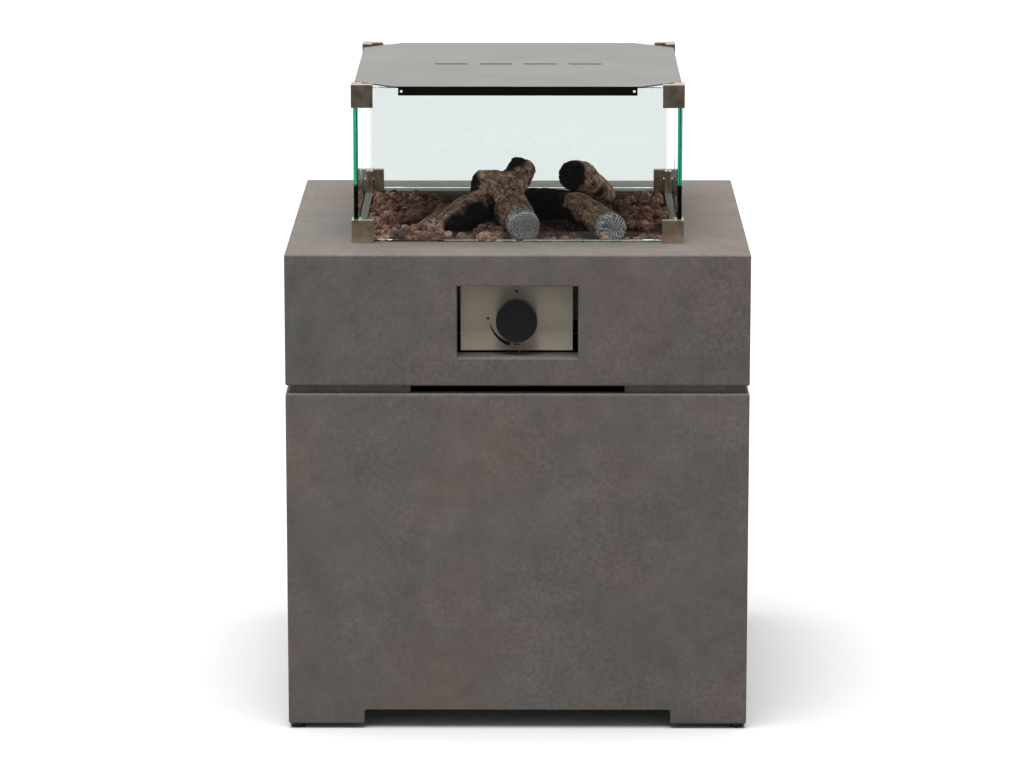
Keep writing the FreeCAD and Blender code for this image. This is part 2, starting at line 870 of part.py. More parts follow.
def ignition_lead():
    foot = electrode_foot()
    socket = V(panel_shift + valve_width / 2 + piezo_width / 2, panel_back + piezo_depth / 2,
               knob_axis - piezo_height / 2)
    level = socket.z - ignition_lead_drop
    points = [foot, V(foot.x, foot.y, level), V(socket.x, socket.y, level), socket]
    return swept("ignition_lead", bent_path(points, ignition_lead_bend), foot, DOWN, ignition_lead_radius)


def thermocouple_lead():
    foot = thermocouple_foot()
    socket = V(panel_shift, valve_back - thermocouple_lead_setback, valve_bottom)
    level = valve_bottom - thermocouple_lead_drop
    points = [foot, V(foot.x, foot.y, level), V(socket.x, socket.y, level), socket]
    path = bent_path(points, thermocouple_lead_bend)
    return swept("thermocouple_lead", path, foot, DOWN, thermocouple_lead_radius)


def probe_bridge():
    top = pan_floor + probe_bridge_rise
    reach = probe_bridge_width / 2
    near = probe_row - probe_bridge_depth / 2
    far = probe_row + probe_bridge_depth / 2
    whole = block(-reach, reach, near, far, pan_floor, top + probe_bridge_sheet)
    under = block(-reach + probe_bridge_sheet, reach - probe_bridge_sheet, near - PAST, far + PAST,
                  pan_floor - PAST, top)
    holes = []
    for side, radius in ((1, electrode_radius), (-1, thermocouple_radius)):
        spot = V(side * probe_place, probe_row, top)
        holes.append(through_hole(spot, UP, radius + bore_clearance, probe_bridge_sheet))
    return whole.cut([under] + holes)


def hood_box():
    far = -drum_radius - hood_drum_gap
    return (-hood_width / 2, hood_width / 2, far - hood_depth, far, pan_floor, pan_floor + hood_height)


def probe_hood():
    x0, x1, y0, y1, z0, z1 = hood_box()
    inside = block(x0 + hood_sheet, x1 - hood_sheet, y0 + hood_sheet, y1 + PAST, z0 - PAST, z1 - hood_sheet)
    slots = []
    pitch = (x1 - x0) / (hood_slot_count + 1)
    for place in range(hood_slot_count):
        x = x0 + pitch * (place + 1)
        slots.append(block(x - hood_sheet, x + hood_sheet, y0 - PAST, y0 + hood_sheet + PAST,
                           z0 + hood_height / 4, z1 - hood_height / 4))
    return block(x0, x1, y0, y1, z0, z1).cut([inside] + slots)


# Ceramic logs: each is a list of (x, y, height of the centre over the stones, radius) along its middle

log_middles = {
    "log_back": [(-52, 46, 17, 15), (-20, 38, 19, 19), (20, 30, 20, 20), (52, 34, 19, 18), (76, 44, 17, 14)],
    "log_left": [(-104, -110, 12, 12), (-78, -88, 19, 18), (-56, -62, 26, 20), (-38, -36, 31, 18)],
    "log_right": [(48, 2, 25, 15), (66, -26, 25, 18), (86, -64, 20, 18), (105, -112, 16, 17)],
    "log_forked": [(8, -112, 17, 18), (-3, -66, 25, 20), (-15, -28, 37, 22), (-28, -4, 43, 22),
                   (-46, 8, 45, 18)],
    "log_leaning": [(60, -6, 59, 18), (70, 12, 53, 20), (84, 36, 38, 19), (98, 60, 22, 16)],
}
fork_middle = [(-14, -22, 41, 17), (0, 4, 56, 17), (6, 14, 68, 16)]
log_rest_gap = 0.3


def log_round(middle, extra=0.0):
    centres = [V(x, y, bed_top + rise) for x, y, rise, radius in middle]
    wires = []
    for place, centre in enumerate(centres):
        before = centres[max(place - 1, 0)]
        after = centres[min(place + 1, len(centres) - 1)]
        radius = middle[place][3] + extra
        wires.append(Part.Wire(Part.makeCircle(radius, centre, (after - before).normalize())))
    return Part.makeLoft(wires, True, True)


def largest(shape):
    return max(shape.Solids, key=lambda solid: solid.Volume)


def logs():
    above_bed = block(-half, half, -half, half, bed_top, bed_top + body_side)
    laid = []
    result = {}
    for name, middle in log_middles.items():
        middles = [middle, fork_middle] if name == "log_forked" else [middle]
        solid = fused([log_round(part) for part in middles]) if len(middles) > 1 else log_round(middle)
        solid = solid.common(above_bed)
        if laid:
            solid = solid.cut(laid)
        result[name] = largest(solid)
        laid.extend(log_round(part, log_rest_gap) for part in middles)
    return result


# Stones: convex bodies cut out of a block by planes, kept as rings of corners until they are whole

def box_rings(x0, x1, y0, y1, z0, z1):
    a, b, c, d = V(x0, y0, z0), V(x1, y0, z0), V(x1, y1, z0), V(x0, y1, z0)
    e, f, g, h = V(x0, y0, z1), V(x1, y0, z1), V(x1, y1, z1), V(x0, y1, z1)
    return [[a, d, c, b], [e, f, g, h], [a, b, f, e], [b, c, g, f], [c, d, h, g], [d, a, e, h]]


def clipped(rings, point, normal):
    kept = []
    rim = []
    for ring in rings:
        corners = []
        for here, after in zip(ring, ring[1:] + ring[:1]):
            ahead = (here - point).dot(normal)
            ahead_after = (after - point).dot(normal)
            if ahead <= 0:
                corners.append(here)
            if ahead * ahead_after < 0:
                crossing = here + (after - here) * (ahead / (ahead - ahead_after))
                corners.append(crossing)
                if all((crossing - other).Length > 1e-6 for other in rim):
                    rim.append(crossing)
        if len(corners) > 2:
            kept.append(corners)
    if len(rim) > 2:
        middle = V(0, 0, 0)
        for corner in rim:
            middle += corner * (1 / len(rim))
        across = (rim[0] - middle).normalize()
        beside = normal.cross(across)
        rim.sort(key=lambda corner: math.atan2((corner - middle).dot(beside), (corner - middle).dot(across)))
        kept.append(rim)
    return kept


def shortest_edge(rings):
    return min((here - after).Length for ring in rings for here, after in zip(ring, ring[1:] + ring[:1]))


def carved(rings, point, normal):
    """Clip by a plane, moved a little inward where it would leave an edge too short to be a real one."""
    trial = rings
    for nudge in range(9):
        trial = clipped(rings, point - normal * (0.1 * nudge), normal)
        if not trial or shortest_edge(trial) > 0.3:
            break
    return trial


def solid_of(rings):
    faces = [Part.Face(Part.makePolygon(ring + ring[:1])) for ring in rings]
    shell = Part.Shell(faces)
    shell.sewShape()
    solid = Part.Solid(shell)
    if solid.Volume < 0:
        solid.reverse()
    return solid


def nearest_in_box(box, point):
    x0, x1, y0, y1, z0, z1 = box
    return V(min(max(point.x, x0), x1), min(max(point.y, y0), y1), min(max(point.z, z0), z1))


def nearest_in_drum(point):
    outward = V(point.x, point.y, 0)
    flat = outward * min(1.0, drum_radius / outward.Length)
    return V(flat.x, flat.y, min(max(point.z, pan_floor), pan_floor + drum_height))


def nearest_in_logs(point):
    nearest = []
    for middle in list(log_middles.values()) + [fork_middle]:
        for (x0, y0, rise0, radius0), (x1, y1, rise1, radius1) in zip(middle, middle[1:]):
            start, end = V(x0, y0, bed_top + rise0), V(x1, y1, bed_top + rise1)
            along = end - start
            share = min(max((point - start).dot(along) / along.dot(along), 0.0), 1.0)
            on_middle = start + along * share
            toward = point - on_middle
            reach = max(radius0, radius1) + log_rest_gap
            if toward.Length > reach:
                nearest.append(on_middle + toward * (reach / toward.Length))
            else:
                nearest.append(point)
    return nearest


def stone(seed, others, box, obstacles, chips):
    """A stone round a seed point: inside the box, halfway to the other seeds, clear of what stands there."""
    rings = box_rings(*box)
    for other in others:
        toward = other - seed
        if 0 < toward.Length < 3 * stone_pitch:
            normal = toward * (1 / toward.Length)
            rings = carved(rings, (seed + other) * 0.5 - normal * (stone_gap / 2), normal)
    for spot in obstacles:
        toward = spot - seed
        if toward.Length < stone_least_reach:
            return None
        normal = toward * (1 / toward.Length)
        rings = carved(rings, spot - normal * (stone_gap / 2), normal)
    for normal, reach in chips:
        rings = carved(rings, seed + normal * reach, normal)
    return solid_of(rings) if len(rings) > 3 else None


def random_chips(chance, count, low, high):
    chips = []
    for place in range(count):
        angle = 2 * math.pi * (place + chance.random()) / count
        tilt = chance.uniform(0.45, 0.8) * (1 if place % 2 else -1)
        level = math.sqrt(1 - tilt ** 2)
        chips.append((V(level * math.cos(angle), level * math.sin(angle), tilt), chance.uniform(low, high)))
    return chips


def stone_bed():
    chance = random.Random(11)
    reach = pan_inner_half - fit_clearance
    count = int(2 * reach / stone_pitch)
    step = 2 * reach / count
    seeds = []
    for row in range(count):
        for column in range(count):
            x = -reach + step * (column + 0.5) + chance.uniform(-0.2, 0.2) * step
            y = -reach + step * (row + 0.5) + chance.uniform(-0.2, 0.2) * step
            z = bed_top - stone_pitch * 0.5 + chance.uniform(-0.15, 0.15) * stone_pitch
            seeds.append(V(x, y, z))
    stones = []
    for seed in seeds:
        obstacles = [nearest_in_drum(seed), nearest_in_box(hood_box(), seed)]
        chips = random_chips(chance, 10, 0.54 * stone_pitch, 0.64 * stone_pitch)
        room = (-reach, reach, -reach, reach, pan_floor, bed_top)
        stones.append(stone(seed, seeds, room, obstacles, chips))
    return [solid for solid in stones if solid]


def stone_pile():
    chance = random.Random(5)
    reach = pan_inner_half - fit_clearance
    count = int(2 * reach / stone_pile_pitch)
    step = 2 * reach / count
    seeds = []
    for row in range(count):
        for column in range(count):
            x = -reach + step * (column + 0.5) + chance.uniform(-0.22, 0.22) * step
            y = -reach + step * (row + 0.5) + chance.uniform(-0.22, 0.22) * step
            z = bed_top + stone_pile_height * chance.uniform(0.4, 0.5)
            beside_logs = abs(x) > heap_side_distance and y < heap_back_distance
            before_logs = y < -front_row_distance
            if beside_logs or before_logs:
                seeds.append(V(x, y, z))
    stones = []
    for seed in seeds:
        chips = random_chips(chance, 10, 0.44 * stone_pile_pitch, 0.56 * stone_pile_pitch)
        top = bed_top + stone_pile_height * chance.uniform(0.75, 1.0)
        if seed.y < -front_row_distance and seed.x > -low_row_start_distance:
            top = bed_top + low_row_height
            if front_stone_near_distance < -seed.x < front_stone_far_distance:
                top = bed_top + front_stone_height
        room = (-reach, reach, -reach, reach, bed_top, top)
        stones.append(stone(seed, seeds, room, nearest_in_logs(seed), chips))
    return [solid for solid in stones if solid]


# Glass guard and lid

def pane():
    return block(-pane_half, pane_half, -glass_outer, -glass_outer + glass_thickness, glass_bottom, glass_top)


def clamp_leg_block(bottom, slot_bottom, slot_top):
    near = -guard_half
    leg = block(near, near + clamp_leg, near, near + clamp_depth, bottom, bottom + clamp_height)
    slot = block(-pane_half - fit_clearance, near + clamp_leg + PAST, -glass_outer,
                 -glass_outer + glass_thickness + fit_clearance, slot_bottom, slot_top)
    return leg, slot


def clamp_screw_seats(bottom, plate_above):
    height = (clamp_height - clamp_plate) / 2
    z = bottom + height if plate_above else bottom + clamp_plate + height
    along = -guard_half + clamp_leg - clamp_screw_inset
    inner = -guard_half + clamp_depth
    return [(V(along, inner, z), FRONT), (V(inner, along, z), LEFT)]


def clamps(bottom, plate_above):
    top = bottom + clamp_height
    slot_bottom = bottom - PAST if plate_above else bottom + clamp_plate
    slot_top = top - clamp_plate if plate_above else top + PAST
    leg, slot = clamp_leg_block(bottom, slot_bottom, slot_top)
    diagonal = V(1, -1, 0)
    corner = fused([leg, leg.mirror(CENTRE, diagonal)]).cut([slot, slot.mirror(CENTRE, diagonal)])
    reach = clamp_depth - clamp_wall - glass_thickness
    holes = [through_hole(seat, direction, screw_radius + bore_clearance, reach)
             for seat, direction in clamp_screw_seats(bottom, plate_above)]
    return on_four_sides(corner.cut(holes))


def clamp_screws():
    reach = clamp_depth - clamp_wall - glass_thickness
    solids = []
    for bottom, plate_above in ((table_top, False), (glass_top + clamp_plate - clamp_height, True)):
        for seat, direction in clamp_screw_seats(bottom, plate_above):
            one = screw(seat, direction, reach, clamp_screw_head, clamp_screw_head_height)
            solids.extend(on_four_sides(one))
    return solids


def lid():
    side = glass_outer + lid_glass_gap + lid_sheet
    top = glass_top + lid_sheet
    plate = block(-lid_half, lid_half, -side, side, glass_top, top)
    flange = block(-lid_flange_half, lid_flange_half, -side, -side + lid_sheet,
                   glass_top - lid_flange_drop, top)
    rear_flange = flange.mirror(CENTRE, BACK)
    near_x = lid_half - lid_corner_clip
    near_y = side - lid_corner_clip
    below = glass_top - PAST
    corner = Part.makePolygon([V(near_x, side + PAST, below), V(side + PAST, near_y, below),
                               V(side + PAST, side + PAST, below), V(near_x, side + PAST, below)])
    clip = Part.Face(corner).extrude(V(0, 0, lid_sheet + 2 * PAST))
    mirrored = clip.mirror(CENTRE, RIGHT)
    cutters = [clip, mirrored, clip.mirror(CENTRE, BACK), mirrored.mirror(CENTRE, BACK)]
    for side_x in (-1, 1):
        x = side_x * (lid_flange_half - lid_hole_inset)
        start = V(x, -side - PAST, top - lid_hole_drop)
        cutters.append(rod(start, BACK, lid_hole_radius, 2 * side + 2 * PAST))
    run = lid_slot_length - lid_slot_width
    for place in range(lid_slot_count):
        x = (place - (lid_slot_count - 1) / 2) * lid_slot_pitch
        bottom = glass_top - PAST
        height = lid_sheet + 2 * PAST
        slot = block(x - run / 2, x + run / 2, -lid_slot_width / 2, lid_slot_width / 2,
                     bottom, bottom + height)
        ends = [rod(V(x + end * run / 2, 0, bottom), UP, lid_slot_width / 2, height) for end in (-1, 1)]
        cutters.append(slot.multiFuse(ends))
    return fused([plate, flange, rear_flange]).cut(cutters)


# All the pieces

os.makedirs("parts", exist_ok=True)
save("base_cabinet", [base_cabinet()])
save("upper_housing", [upper_housing()])
save("feet", feet())
save("base_floor", [base_floor()])
save("floor_screws", floor_screws())
save("tie_straps", tie_straps())
save("strap_screws", strap_screws())
save("rear_door", [rear_door()])
save("door_pivots", door_pivots())
save("door_magnet", [door_magnet()])
save("door_keeper", [door_keeper()])
save("control_panel", [control_panel()])
save("panel_screws", [screw(seat, FRONT) for seat in panel_screw_seats()])
save("gas_valve", [gas_valve()])
save("valve_screws", [screw(seat, BACK) for seat in valve_screw_seats()])
save("valve_spring", [valve_spring()])
save("valve_plunger", [valve_plunger()])
save("valve_spindle", [valve_spindle()])
save("control_knob", [control_knob()])
save("knob_grub_screw", [rod(grub_start(), DOWN, grub_radius, grub_length)])
save("piezo_igniter", [piezo_igniter()])
save("gas_inlet", [gas_inlet()])
save("gas_pipe", [gas_pipe()])
save("pipe_nuts", pipe_nuts())
save("injector", [injector()])
save("mixer_tube", [mixer_tube()])
save("burner_drum", [burner_drum()])
save("burner_locknut", [burner_locknut()])
save("burner_pan", [burner_pan()])
save("pan_brackets", pan_brackets())
save("bracket_screws", bracket_screws())
save("heat_shield", [heat_shield()])
save("shield_screws", shield_screws())
save("igniter_electrode", [igniter_electrode()])
save("ignition_lead", [ignition_lead()])
save("thermocouple", [thermocouple()])
save("thermocouple_lead", [thermocouple_lead()])
save("probe_bridge", [probe_bridge()])
save("probe_hood", [probe_hood()])
for log_name, log_solid in logs().items():
    save(log_name, [log_solid])
save("stone_bed", stone_bed())
save("stone_pile", stone_pile())
pane_names = ("glass_front", "glass_right", "glass_rear", "glass_left")
for pane_name, solid in zip(pane_names, on_four_sides(pane())):
    save(pane_name, [solid])
save("lower_clamps", clamps(table_top, False))
save("upper_clamps", clamps(glass_top + clamp_plate - clamp_height, True))
save("clamp_screws", clamp_screws())
save("lid", [lid()])
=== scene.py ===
import json
import math
import bmesh
import bpy
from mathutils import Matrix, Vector, noise


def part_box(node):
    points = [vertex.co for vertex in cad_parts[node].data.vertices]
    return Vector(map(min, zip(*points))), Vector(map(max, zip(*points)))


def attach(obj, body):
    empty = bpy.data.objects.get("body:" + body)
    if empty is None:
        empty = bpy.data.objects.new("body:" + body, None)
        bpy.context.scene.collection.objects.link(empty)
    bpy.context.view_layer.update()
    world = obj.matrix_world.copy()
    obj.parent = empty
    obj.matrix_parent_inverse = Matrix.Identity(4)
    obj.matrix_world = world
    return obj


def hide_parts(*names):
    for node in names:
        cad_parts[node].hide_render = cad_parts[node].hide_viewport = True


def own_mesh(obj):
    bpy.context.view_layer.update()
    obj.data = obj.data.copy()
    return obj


# A square gas fire pit: fibre cement column, control recess, stone pan with logs, glass guard and steel lid.
# Metres, Z up, with the control recess towards -Y. The sections follow the order of putting it together.
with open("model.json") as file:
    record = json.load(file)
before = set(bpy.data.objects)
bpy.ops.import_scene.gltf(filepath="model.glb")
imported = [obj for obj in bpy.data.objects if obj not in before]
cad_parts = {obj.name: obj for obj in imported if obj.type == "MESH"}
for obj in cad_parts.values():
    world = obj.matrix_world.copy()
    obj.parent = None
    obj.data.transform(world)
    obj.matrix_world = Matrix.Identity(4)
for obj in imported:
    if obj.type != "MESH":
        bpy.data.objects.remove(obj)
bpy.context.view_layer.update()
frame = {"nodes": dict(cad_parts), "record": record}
MM = 0.001

# View: a long lens a little above the tabletop, far enough back for upright sides to look nearly parallel.
# Its place and tilt are fitted to the corners of the column as the photograph shows them.
camera_data = bpy.data.cameras.new("long_lens")
camera_data.sensor_width = 36.0
camera_data.lens = 155.9
camera = bpy.data.objects.new("camera", camera_data)
bpy.context.scene.collection.objects.link(camera)
camera.location = (0.0161, -4.9171, 1.3665)
camera_tilt = math.radians(90 - 11.877)
camera_roll = math.radians(0.27)
camera.rotation_euler = (camera_tilt, 0.0, camera_roll)
bpy.context.scene.camera = camera
bpy.context.scene.view_settings.view_transform = "Standard"


def linear(hex_colour):
    """An sRGB hex colour as linear red, green and blue, with full alpha."""
    channels = [int(hex_colour[place:place + 2], 16) / 255 for place in (0, 2, 4)]
    straight = [((c + 0.055) / 1.055) ** 2.4 if c > 0.04045 else c / 12.92 for c in channels]
    return (*straight, 1.0)


def add_node(tree, kind, inputs=None, **settings):
    """Adds a node: inputs holds values or sockets to link, by socket name or number."""
    made = tree.nodes.new(kind)
    for name, value in settings.items():
        setattr(made, name, value)
    for name, value in (inputs or {}).items():
        if isinstance(value, bpy.types.NodeSocket):
            tree.links.new(value, made.inputs[name])
        else:
            made.inputs[name].default_value = value
    return made


# Studio: plain pale light from all round, more of it from the sides, and one broad soft lamp overhead.
# It is plain white to the eye, through glass and in gloss, but for its front, which is dimmer in gloss.
side_light = 0.6
even_light = 0.18
front_mirrored = 0.3
front_starts, front_ends = -0.45, 0.25
world = bpy.data.worlds.new("studio_white")
bpy.context.scene.world = world
world.use_nodes = True
studio = world.node_tree
studio.nodes.clear()
seen = add_node(studio, "ShaderNodeLightPath")
generated = add_node(studio, "ShaderNodeTexCoord").outputs["Generated"]
way = add_node(studio, "ShaderNodeSeparateXYZ", {0: generated})
sideways = add_node(studio, "ShaderNodeMath", {0: way.outputs["X"], 1: 2.0}, operation="POWER")
strength = add_node(studio, "ShaderNodeMath", {0: sideways.outputs[0], 1: side_light, 2: even_light},
                    operation="MULTIPLY_ADD")
gloss_seen = add_node(studio, "ShaderNodeMapRange",
                      {"Value": way.outputs["Y"], "From Min": front_starts, "From Max": front_ends,
                       "To Min": front_mirrored, "To Max": 1.0}, interpolation_type="SMOOTHSTEP")
mirrored = add_node(studio, "ShaderNodeMath", {0: seen.outputs["Glossy Depth"], 1: 0.5},
                    operation="GREATER_THAN")
for chosen, seen_strength in ((seen.outputs["Is Camera Ray"], 1.0), (seen.outputs["Is Glossy Ray"], 1.0),
                              (seen.outputs["Is Transmission Ray"], 1.0),
                              (mirrored.outputs[0], gloss_seen.outputs[0])):
    strength = add_node(studio, "ShaderNodeMix", {0: chosen, 2: strength.outputs[0], 3: seen_strength},
                        data_type="FLOAT")
backdrop = add_node(studio, "ShaderNodeBackground",
                    {"Color": (1, 1, 1, 1), "Strength": strength.outputs[0]})
add_node(studio, "ShaderNodeOutputWorld", {"Surface": backdrop.outputs[0]})

lamp_data = bpy.data.lights.new("soft_lamp", "SUN")
lamp_data.energy = 3.7
lamp_data.angle = math.radians(50)
lamp = bpy.data.objects.new("soft_lamp", lamp_data)
lamp.rotation_euler = (math.radians(8), math.radians(-3), 0.0)
bpy.context.scene.collection.objects.link(lamp)

# Floor: a plain pale studio floor that keeps the object's soft shadow.
# It throws less light up at the sides than it shows, as a floor does when dark walls stand round a pale set,
# and what metal mirrors of it is greyer in front of the object and dark far in front.
floor_reach = 30.0
floor_seen = linear("E8E8E8")
floor_thrown = linear("8C8C8C")
floor_through_glass = linear("D6D6D6")
floor_mirrored = linear("767676")
floor_mirrored_far = linear("262626")
near_front_from, near_front_to = -0.4, 0.6
far_front_from, far_front_to = -2.7, -2.35
floor_data = bpy.data.meshes.new("studio_floor")
floor_data.from_pydata([(-floor_reach, -floor_reach, 0), (floor_reach, -floor_reach, 0),
                        (floor_reach, floor_reach, 0), (-floor_reach, floor_reach, 0)], [], [(0, 1, 2, 3)])
floor = bpy.data.objects.new("studio_floor", floor_data)
bpy.context.scene.collection.objects.link(floor)
floor_paint = bpy.data.materials.new("matt white floor paint")
floor_paint.use_nodes = True
floor_paint.node_tree.nodes.clear()
floor_tree = floor_paint.node_tree
floor_ray = add_node(floor_tree, "ShaderNodeLightPath")
floor_place = add_node(floor_tree, "ShaderNodeSeparateXYZ",
                       {0: add_node(floor_tree, "ShaderNodeTexCoord").outputs["Object"]})
mirrored_colour = floor_seen
for share_from, share_to, ray_colour in ((near_front_from, near_front_to, floor_mirrored),
                                         (far_front_from, far_front_to, floor_mirrored_far)):
    share = add_node(floor_tree, "ShaderNodeMapRange",
                     {"Value": floor_place.outputs["Y"], "From Min": share_from, "From Max": share_to,
                      "To Min": 1.0, "To Max": 0.0})
    mirrored_colour = add_node(floor_tree, "ShaderNodeMix",
                               {0: share.outputs[0], 6: mirrored_colour, 7: ray_colour},
                               data_type="RGBA").outputs[2]
floor_mirror = add_node(floor_tree, "ShaderNodeMath", {0: floor_ray.outputs["Glossy Depth"], 1: 0.5},
                        operation="GREATER_THAN")
floor_colour = floor_seen
for chosen, ray_colour in ((floor_ray.outputs["Is Transmission Ray"], floor_through_glass),
                           (floor_ray.outputs["Is Diffuse Ray"], floor_thrown),
                           (floor_mirror.outputs[0], mirrored_colour)):
    floor_colour = add_node(floor_tree, "ShaderNodeMix", {0: chosen, 6: floor_colour, 7: ray_colour},
                            data_type="RGBA").outputs[2]
floor_shader = add_node(floor_tree, "ShaderNodeBsdfDiffuse", {"Color": floor_colour})
add_node(floor_tree, "ShaderNodeOutputMaterial", {"Surface": floor_shader.outputs[0]})
floor_data.materials.append(floor_paint)

# Fibre cement column: two thin-walled boxes cast in a mould and left unsealed, in a warm grey.
# The face is matt, with soft clouds where the mix dried unevenly, fine sand grain and a few pinholes.
grey_warm = linear("7F736D")
grey_cool = linear("75726D")
cloud_size = 130 * MM
mottle_size = 26 * MM
speckle_size = 5 * MM
sand_size = 1.6 * MM
sand_depth = 0.12 * MM
pinhole_spacing = 14 * MM
pinhole_depth = 0.4 * MM


def new_surface(name):
    """An empty material and its node tree, with object coordinates in metres to hang patterns on."""
    material = bpy.data.materials.new(name)
    material.use_nodes = True
    material.node_tree.nodes.clear()
    place = add_node(material.node_tree, "ShaderNodeTexCoord").outputs["Object"]
    return material, material.node_tree, place


def patches(tree, place, size, low, high, detail=2.0, roughness=0.5):
    """Soft patches of about the given size, as a value that runs from low to high."""
    pattern = add_node(tree, "ShaderNodeTexNoise",
                       {"Vector": place, "Scale": 1 / size, "Detail": detail, "Roughness": roughness})
    return add_node(tree, "ShaderNodeMapRange", {"Value": pattern.outputs[0], "From Min": 0.3,
                                                 "From Max": 0.7, "To Min": low, "To Max": high}).outputs[0]


def coated(tree, colour, *coats):
    """A colour with coats of others over it; each coat is how much of it shows, and its colour."""
    for share, coat in coats:
        colour = add_node(tree, "ShaderNodeMix", {0: share, 6: colour, 7: coat}, data_type="RGBA").outputs[2]
    return colour


def shaded(tree, colour, shade, *more_shades):
    """A colour made lighter or darker by one or more values."""
    for more in more_shades:
        shade = add_node(tree, "ShaderNodeMath", {0: shade, 1: more}, operation="MULTIPLY").outputs[0]
    grey = add_node(tree, "ShaderNodeCombineColor", {0: shade, 1: shade, 2: shade}).outputs[0]
    return add_node(tree, "ShaderNodeMix", {0: 1.0, 6: colour, 7: grey}, data_type="RGBA",
                    blend_type="MULTIPLY").outputs[2]


def relief(tree, *layers):
    """Fine relief in layers, one on top of another; each is a height pattern and its depth in metres."""
    normal = None
    for height, depth in layers:
        inputs = {"Height": height, "Distance": depth, "Strength": 1.0}
        if normal:
            inputs["Normal"] = normal
        normal = add_node(tree, "ShaderNodeBump", inputs).outputs[0]
    return normal


def cast_fibre_cement():
    """Clouds of two greys, darkened and lightened by patches of three sizes, with sand and pinholes."""
    material, tree, place = new_surface("cast fibre cement")
    clouds = patches(tree, place, cloud_size, 0.0, 1.0, 3.0)
    colour = coated(tree, grey_warm, (clouds, grey_cool))
    broad = patches(tree, place, cloud_size * 0.6, 0.93, 1.06, 2.0)
    mottle = patches(tree, place, mottle_size, 0.85, 1.13, 5.0, 0.66)
    speckle = patches(tree, place, speckle_size, 0.76, 1.15, 3.0, 0.6)
    grainy = patches(tree, place, cloud_size * 0.8, -0.1, 1.1, 2.0)
    speckle = add_node(tree, "ShaderNodeMix", {0: grainy, 2: 1.0, 3: speckle}, data_type="FLOAT").outputs[0]
    sand = patches(tree, place, sand_size, 0.9, 1.1, 1.0)
    cells = add_node(tree, "ShaderNodeTexVoronoi", {"Vector": place, "Scale": 1 / pinhole_spacing})
    pinhole = add_node(tree, "ShaderNodeMapRange",
                       {"Value": cells.outputs["Distance"], "From Min": 0.03, "From Max": 0.06,
                        "To Min": 0.55, "To Max": 1.0}).outputs[0]
    colour = shaded(tree, colour, broad, mottle, speckle, sand, pinhole)
    roughness = patches(tree, place, mottle_size, 0.72, 0.86)
    normal = relief(tree, (sand, sand_depth), (pinhole, pinhole_depth))
    shader = add_node(tree, "ShaderNodeBsdfPrincipled",
                      {"Base Color": colour, "Roughness": roughness, "Normal": normal,
                       "Specular IOR Level": 0.35})
    add_node(tree, "ShaderNodeOutputMaterial", {"Surface": shader.outputs[0]})
    return material


def body_holding(node):
    return next(body for body, members in frame["record"]["behaviour"]["bodies"].items() if node in members)


def mark_sharp_edges(mesh, angle=math.radians(32)):
    """Smooth shading, broken where two faces meet at more than the angle."""
    shape = bmesh.new()
    shape.from_mesh(mesh)
    for face in shape.faces:
        face.smooth = True
    for edge in shape.edges:
        edge.smooth = len(edge.link_faces) == 2 and edge.calc_face_angle(0.0) < angle
    shape.to_mesh(mesh)
    shape.free()


def whole_faces(node):
    """A copy of a CAD node's mesh with its loose triangles joined into whole flat faces."""
    mesh = frame["nodes"][node].data.copy()
    shape = bmesh.new()
    shape.from_mesh(mesh)
    bmesh.ops.remove_doubles(shape, verts=shape.verts, dist=0.002 * MM)
    bmesh.ops.dissolve_limit(shape, angle_limit=math.radians(0.5), verts=shape.verts, edges=shape.edges)
    shape.to_mesh(mesh)
    shape.free()
    mesh.materials.clear()
    return mesh


def finished_piece(name, mesh, material, *nodes):
    """A piece at the origin that stands for CAD nodes and moves with the first one's body."""
    piece = bpy.data.objects.new(name, mesh)
    bpy.context.scene.collection.objects.link(piece)
    if material:
        mesh.materials.append(material)
    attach(piece, body_holding(nodes[0]))
    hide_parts(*nodes)
    return piece


def eased_copy(node, material, ease):
    """The node's own shape with its sharp edges eased by a small bevel, as deburring leaves them."""
    mesh = whole_faces(node)
    mark_sharp_edges(mesh)
    piece = finished_piece("eased_" + node, mesh, material, node)
    bevel = piece.modifiers.new("eased edges", "BEVEL")
    bevel.width = ease
    bevel.segments = 2
    bevel.limit_method = "ANGLE"
    bevel.angle_limit = math.radians(40)
    bevel.harden_normals = True
    bevel.use_clamp_overlap = True
    return piece


fibre_cement = cast_fibre_cement()
for shell in ("base_cabinet", "upper_housing", "rear_door"):
    shell_mesh = whole_faces(shell)
    mark_sharp_edges(shell_mesh)
    finished_piece("cast_" + shell, shell_mesh, fibre_cement, shell)

# Four feet: black polypropylene pads, each moulded in one with a stem that goes up into a corner post.
# The mould leaves an even matt grain, and the rims are eased.
pad_black = linear("1B1B1B")
pad_ease = 1.0 * MM
plastic_grain = 0.8 * MM
plastic_grain_depth = 0.03 * MM
plastic_gloss_size = 25 * MM
plastic_tone_size = 12 * MM


def moulded_plastic(name, colour, roughness, grain=plastic_grain, depth=plastic_grain_depth):
    """Plastic with the fine even texture of its mould and a slight cloudiness in its gloss."""
    material, tree, place = new_surface(name)
    texture = patches(tree, place, grain, 0.0, 1.0, 1.0)
    gloss = patches(tree, place, plastic_gloss_size, roughness - 0.06, roughness + 0.06)
    tone = patches(tree, place, plastic_tone_size, 0.9, 1.1)
    shader = add_node(tree, "ShaderNodeBsdfPrincipled",
                      {"Base Color": shaded(tree, colour, tone), "Roughness": gloss, "IOR": 1.49,
                       "Normal": relief(tree, (texture, depth))})
    add_node(tree, "ShaderNodeOutputMaterial", {"Surface": shader.outputs[0]})
    return material


eased_copy("feet", moulded_plastic("moulded polypropylene, black", pad_black, 0.6), pad_ease)

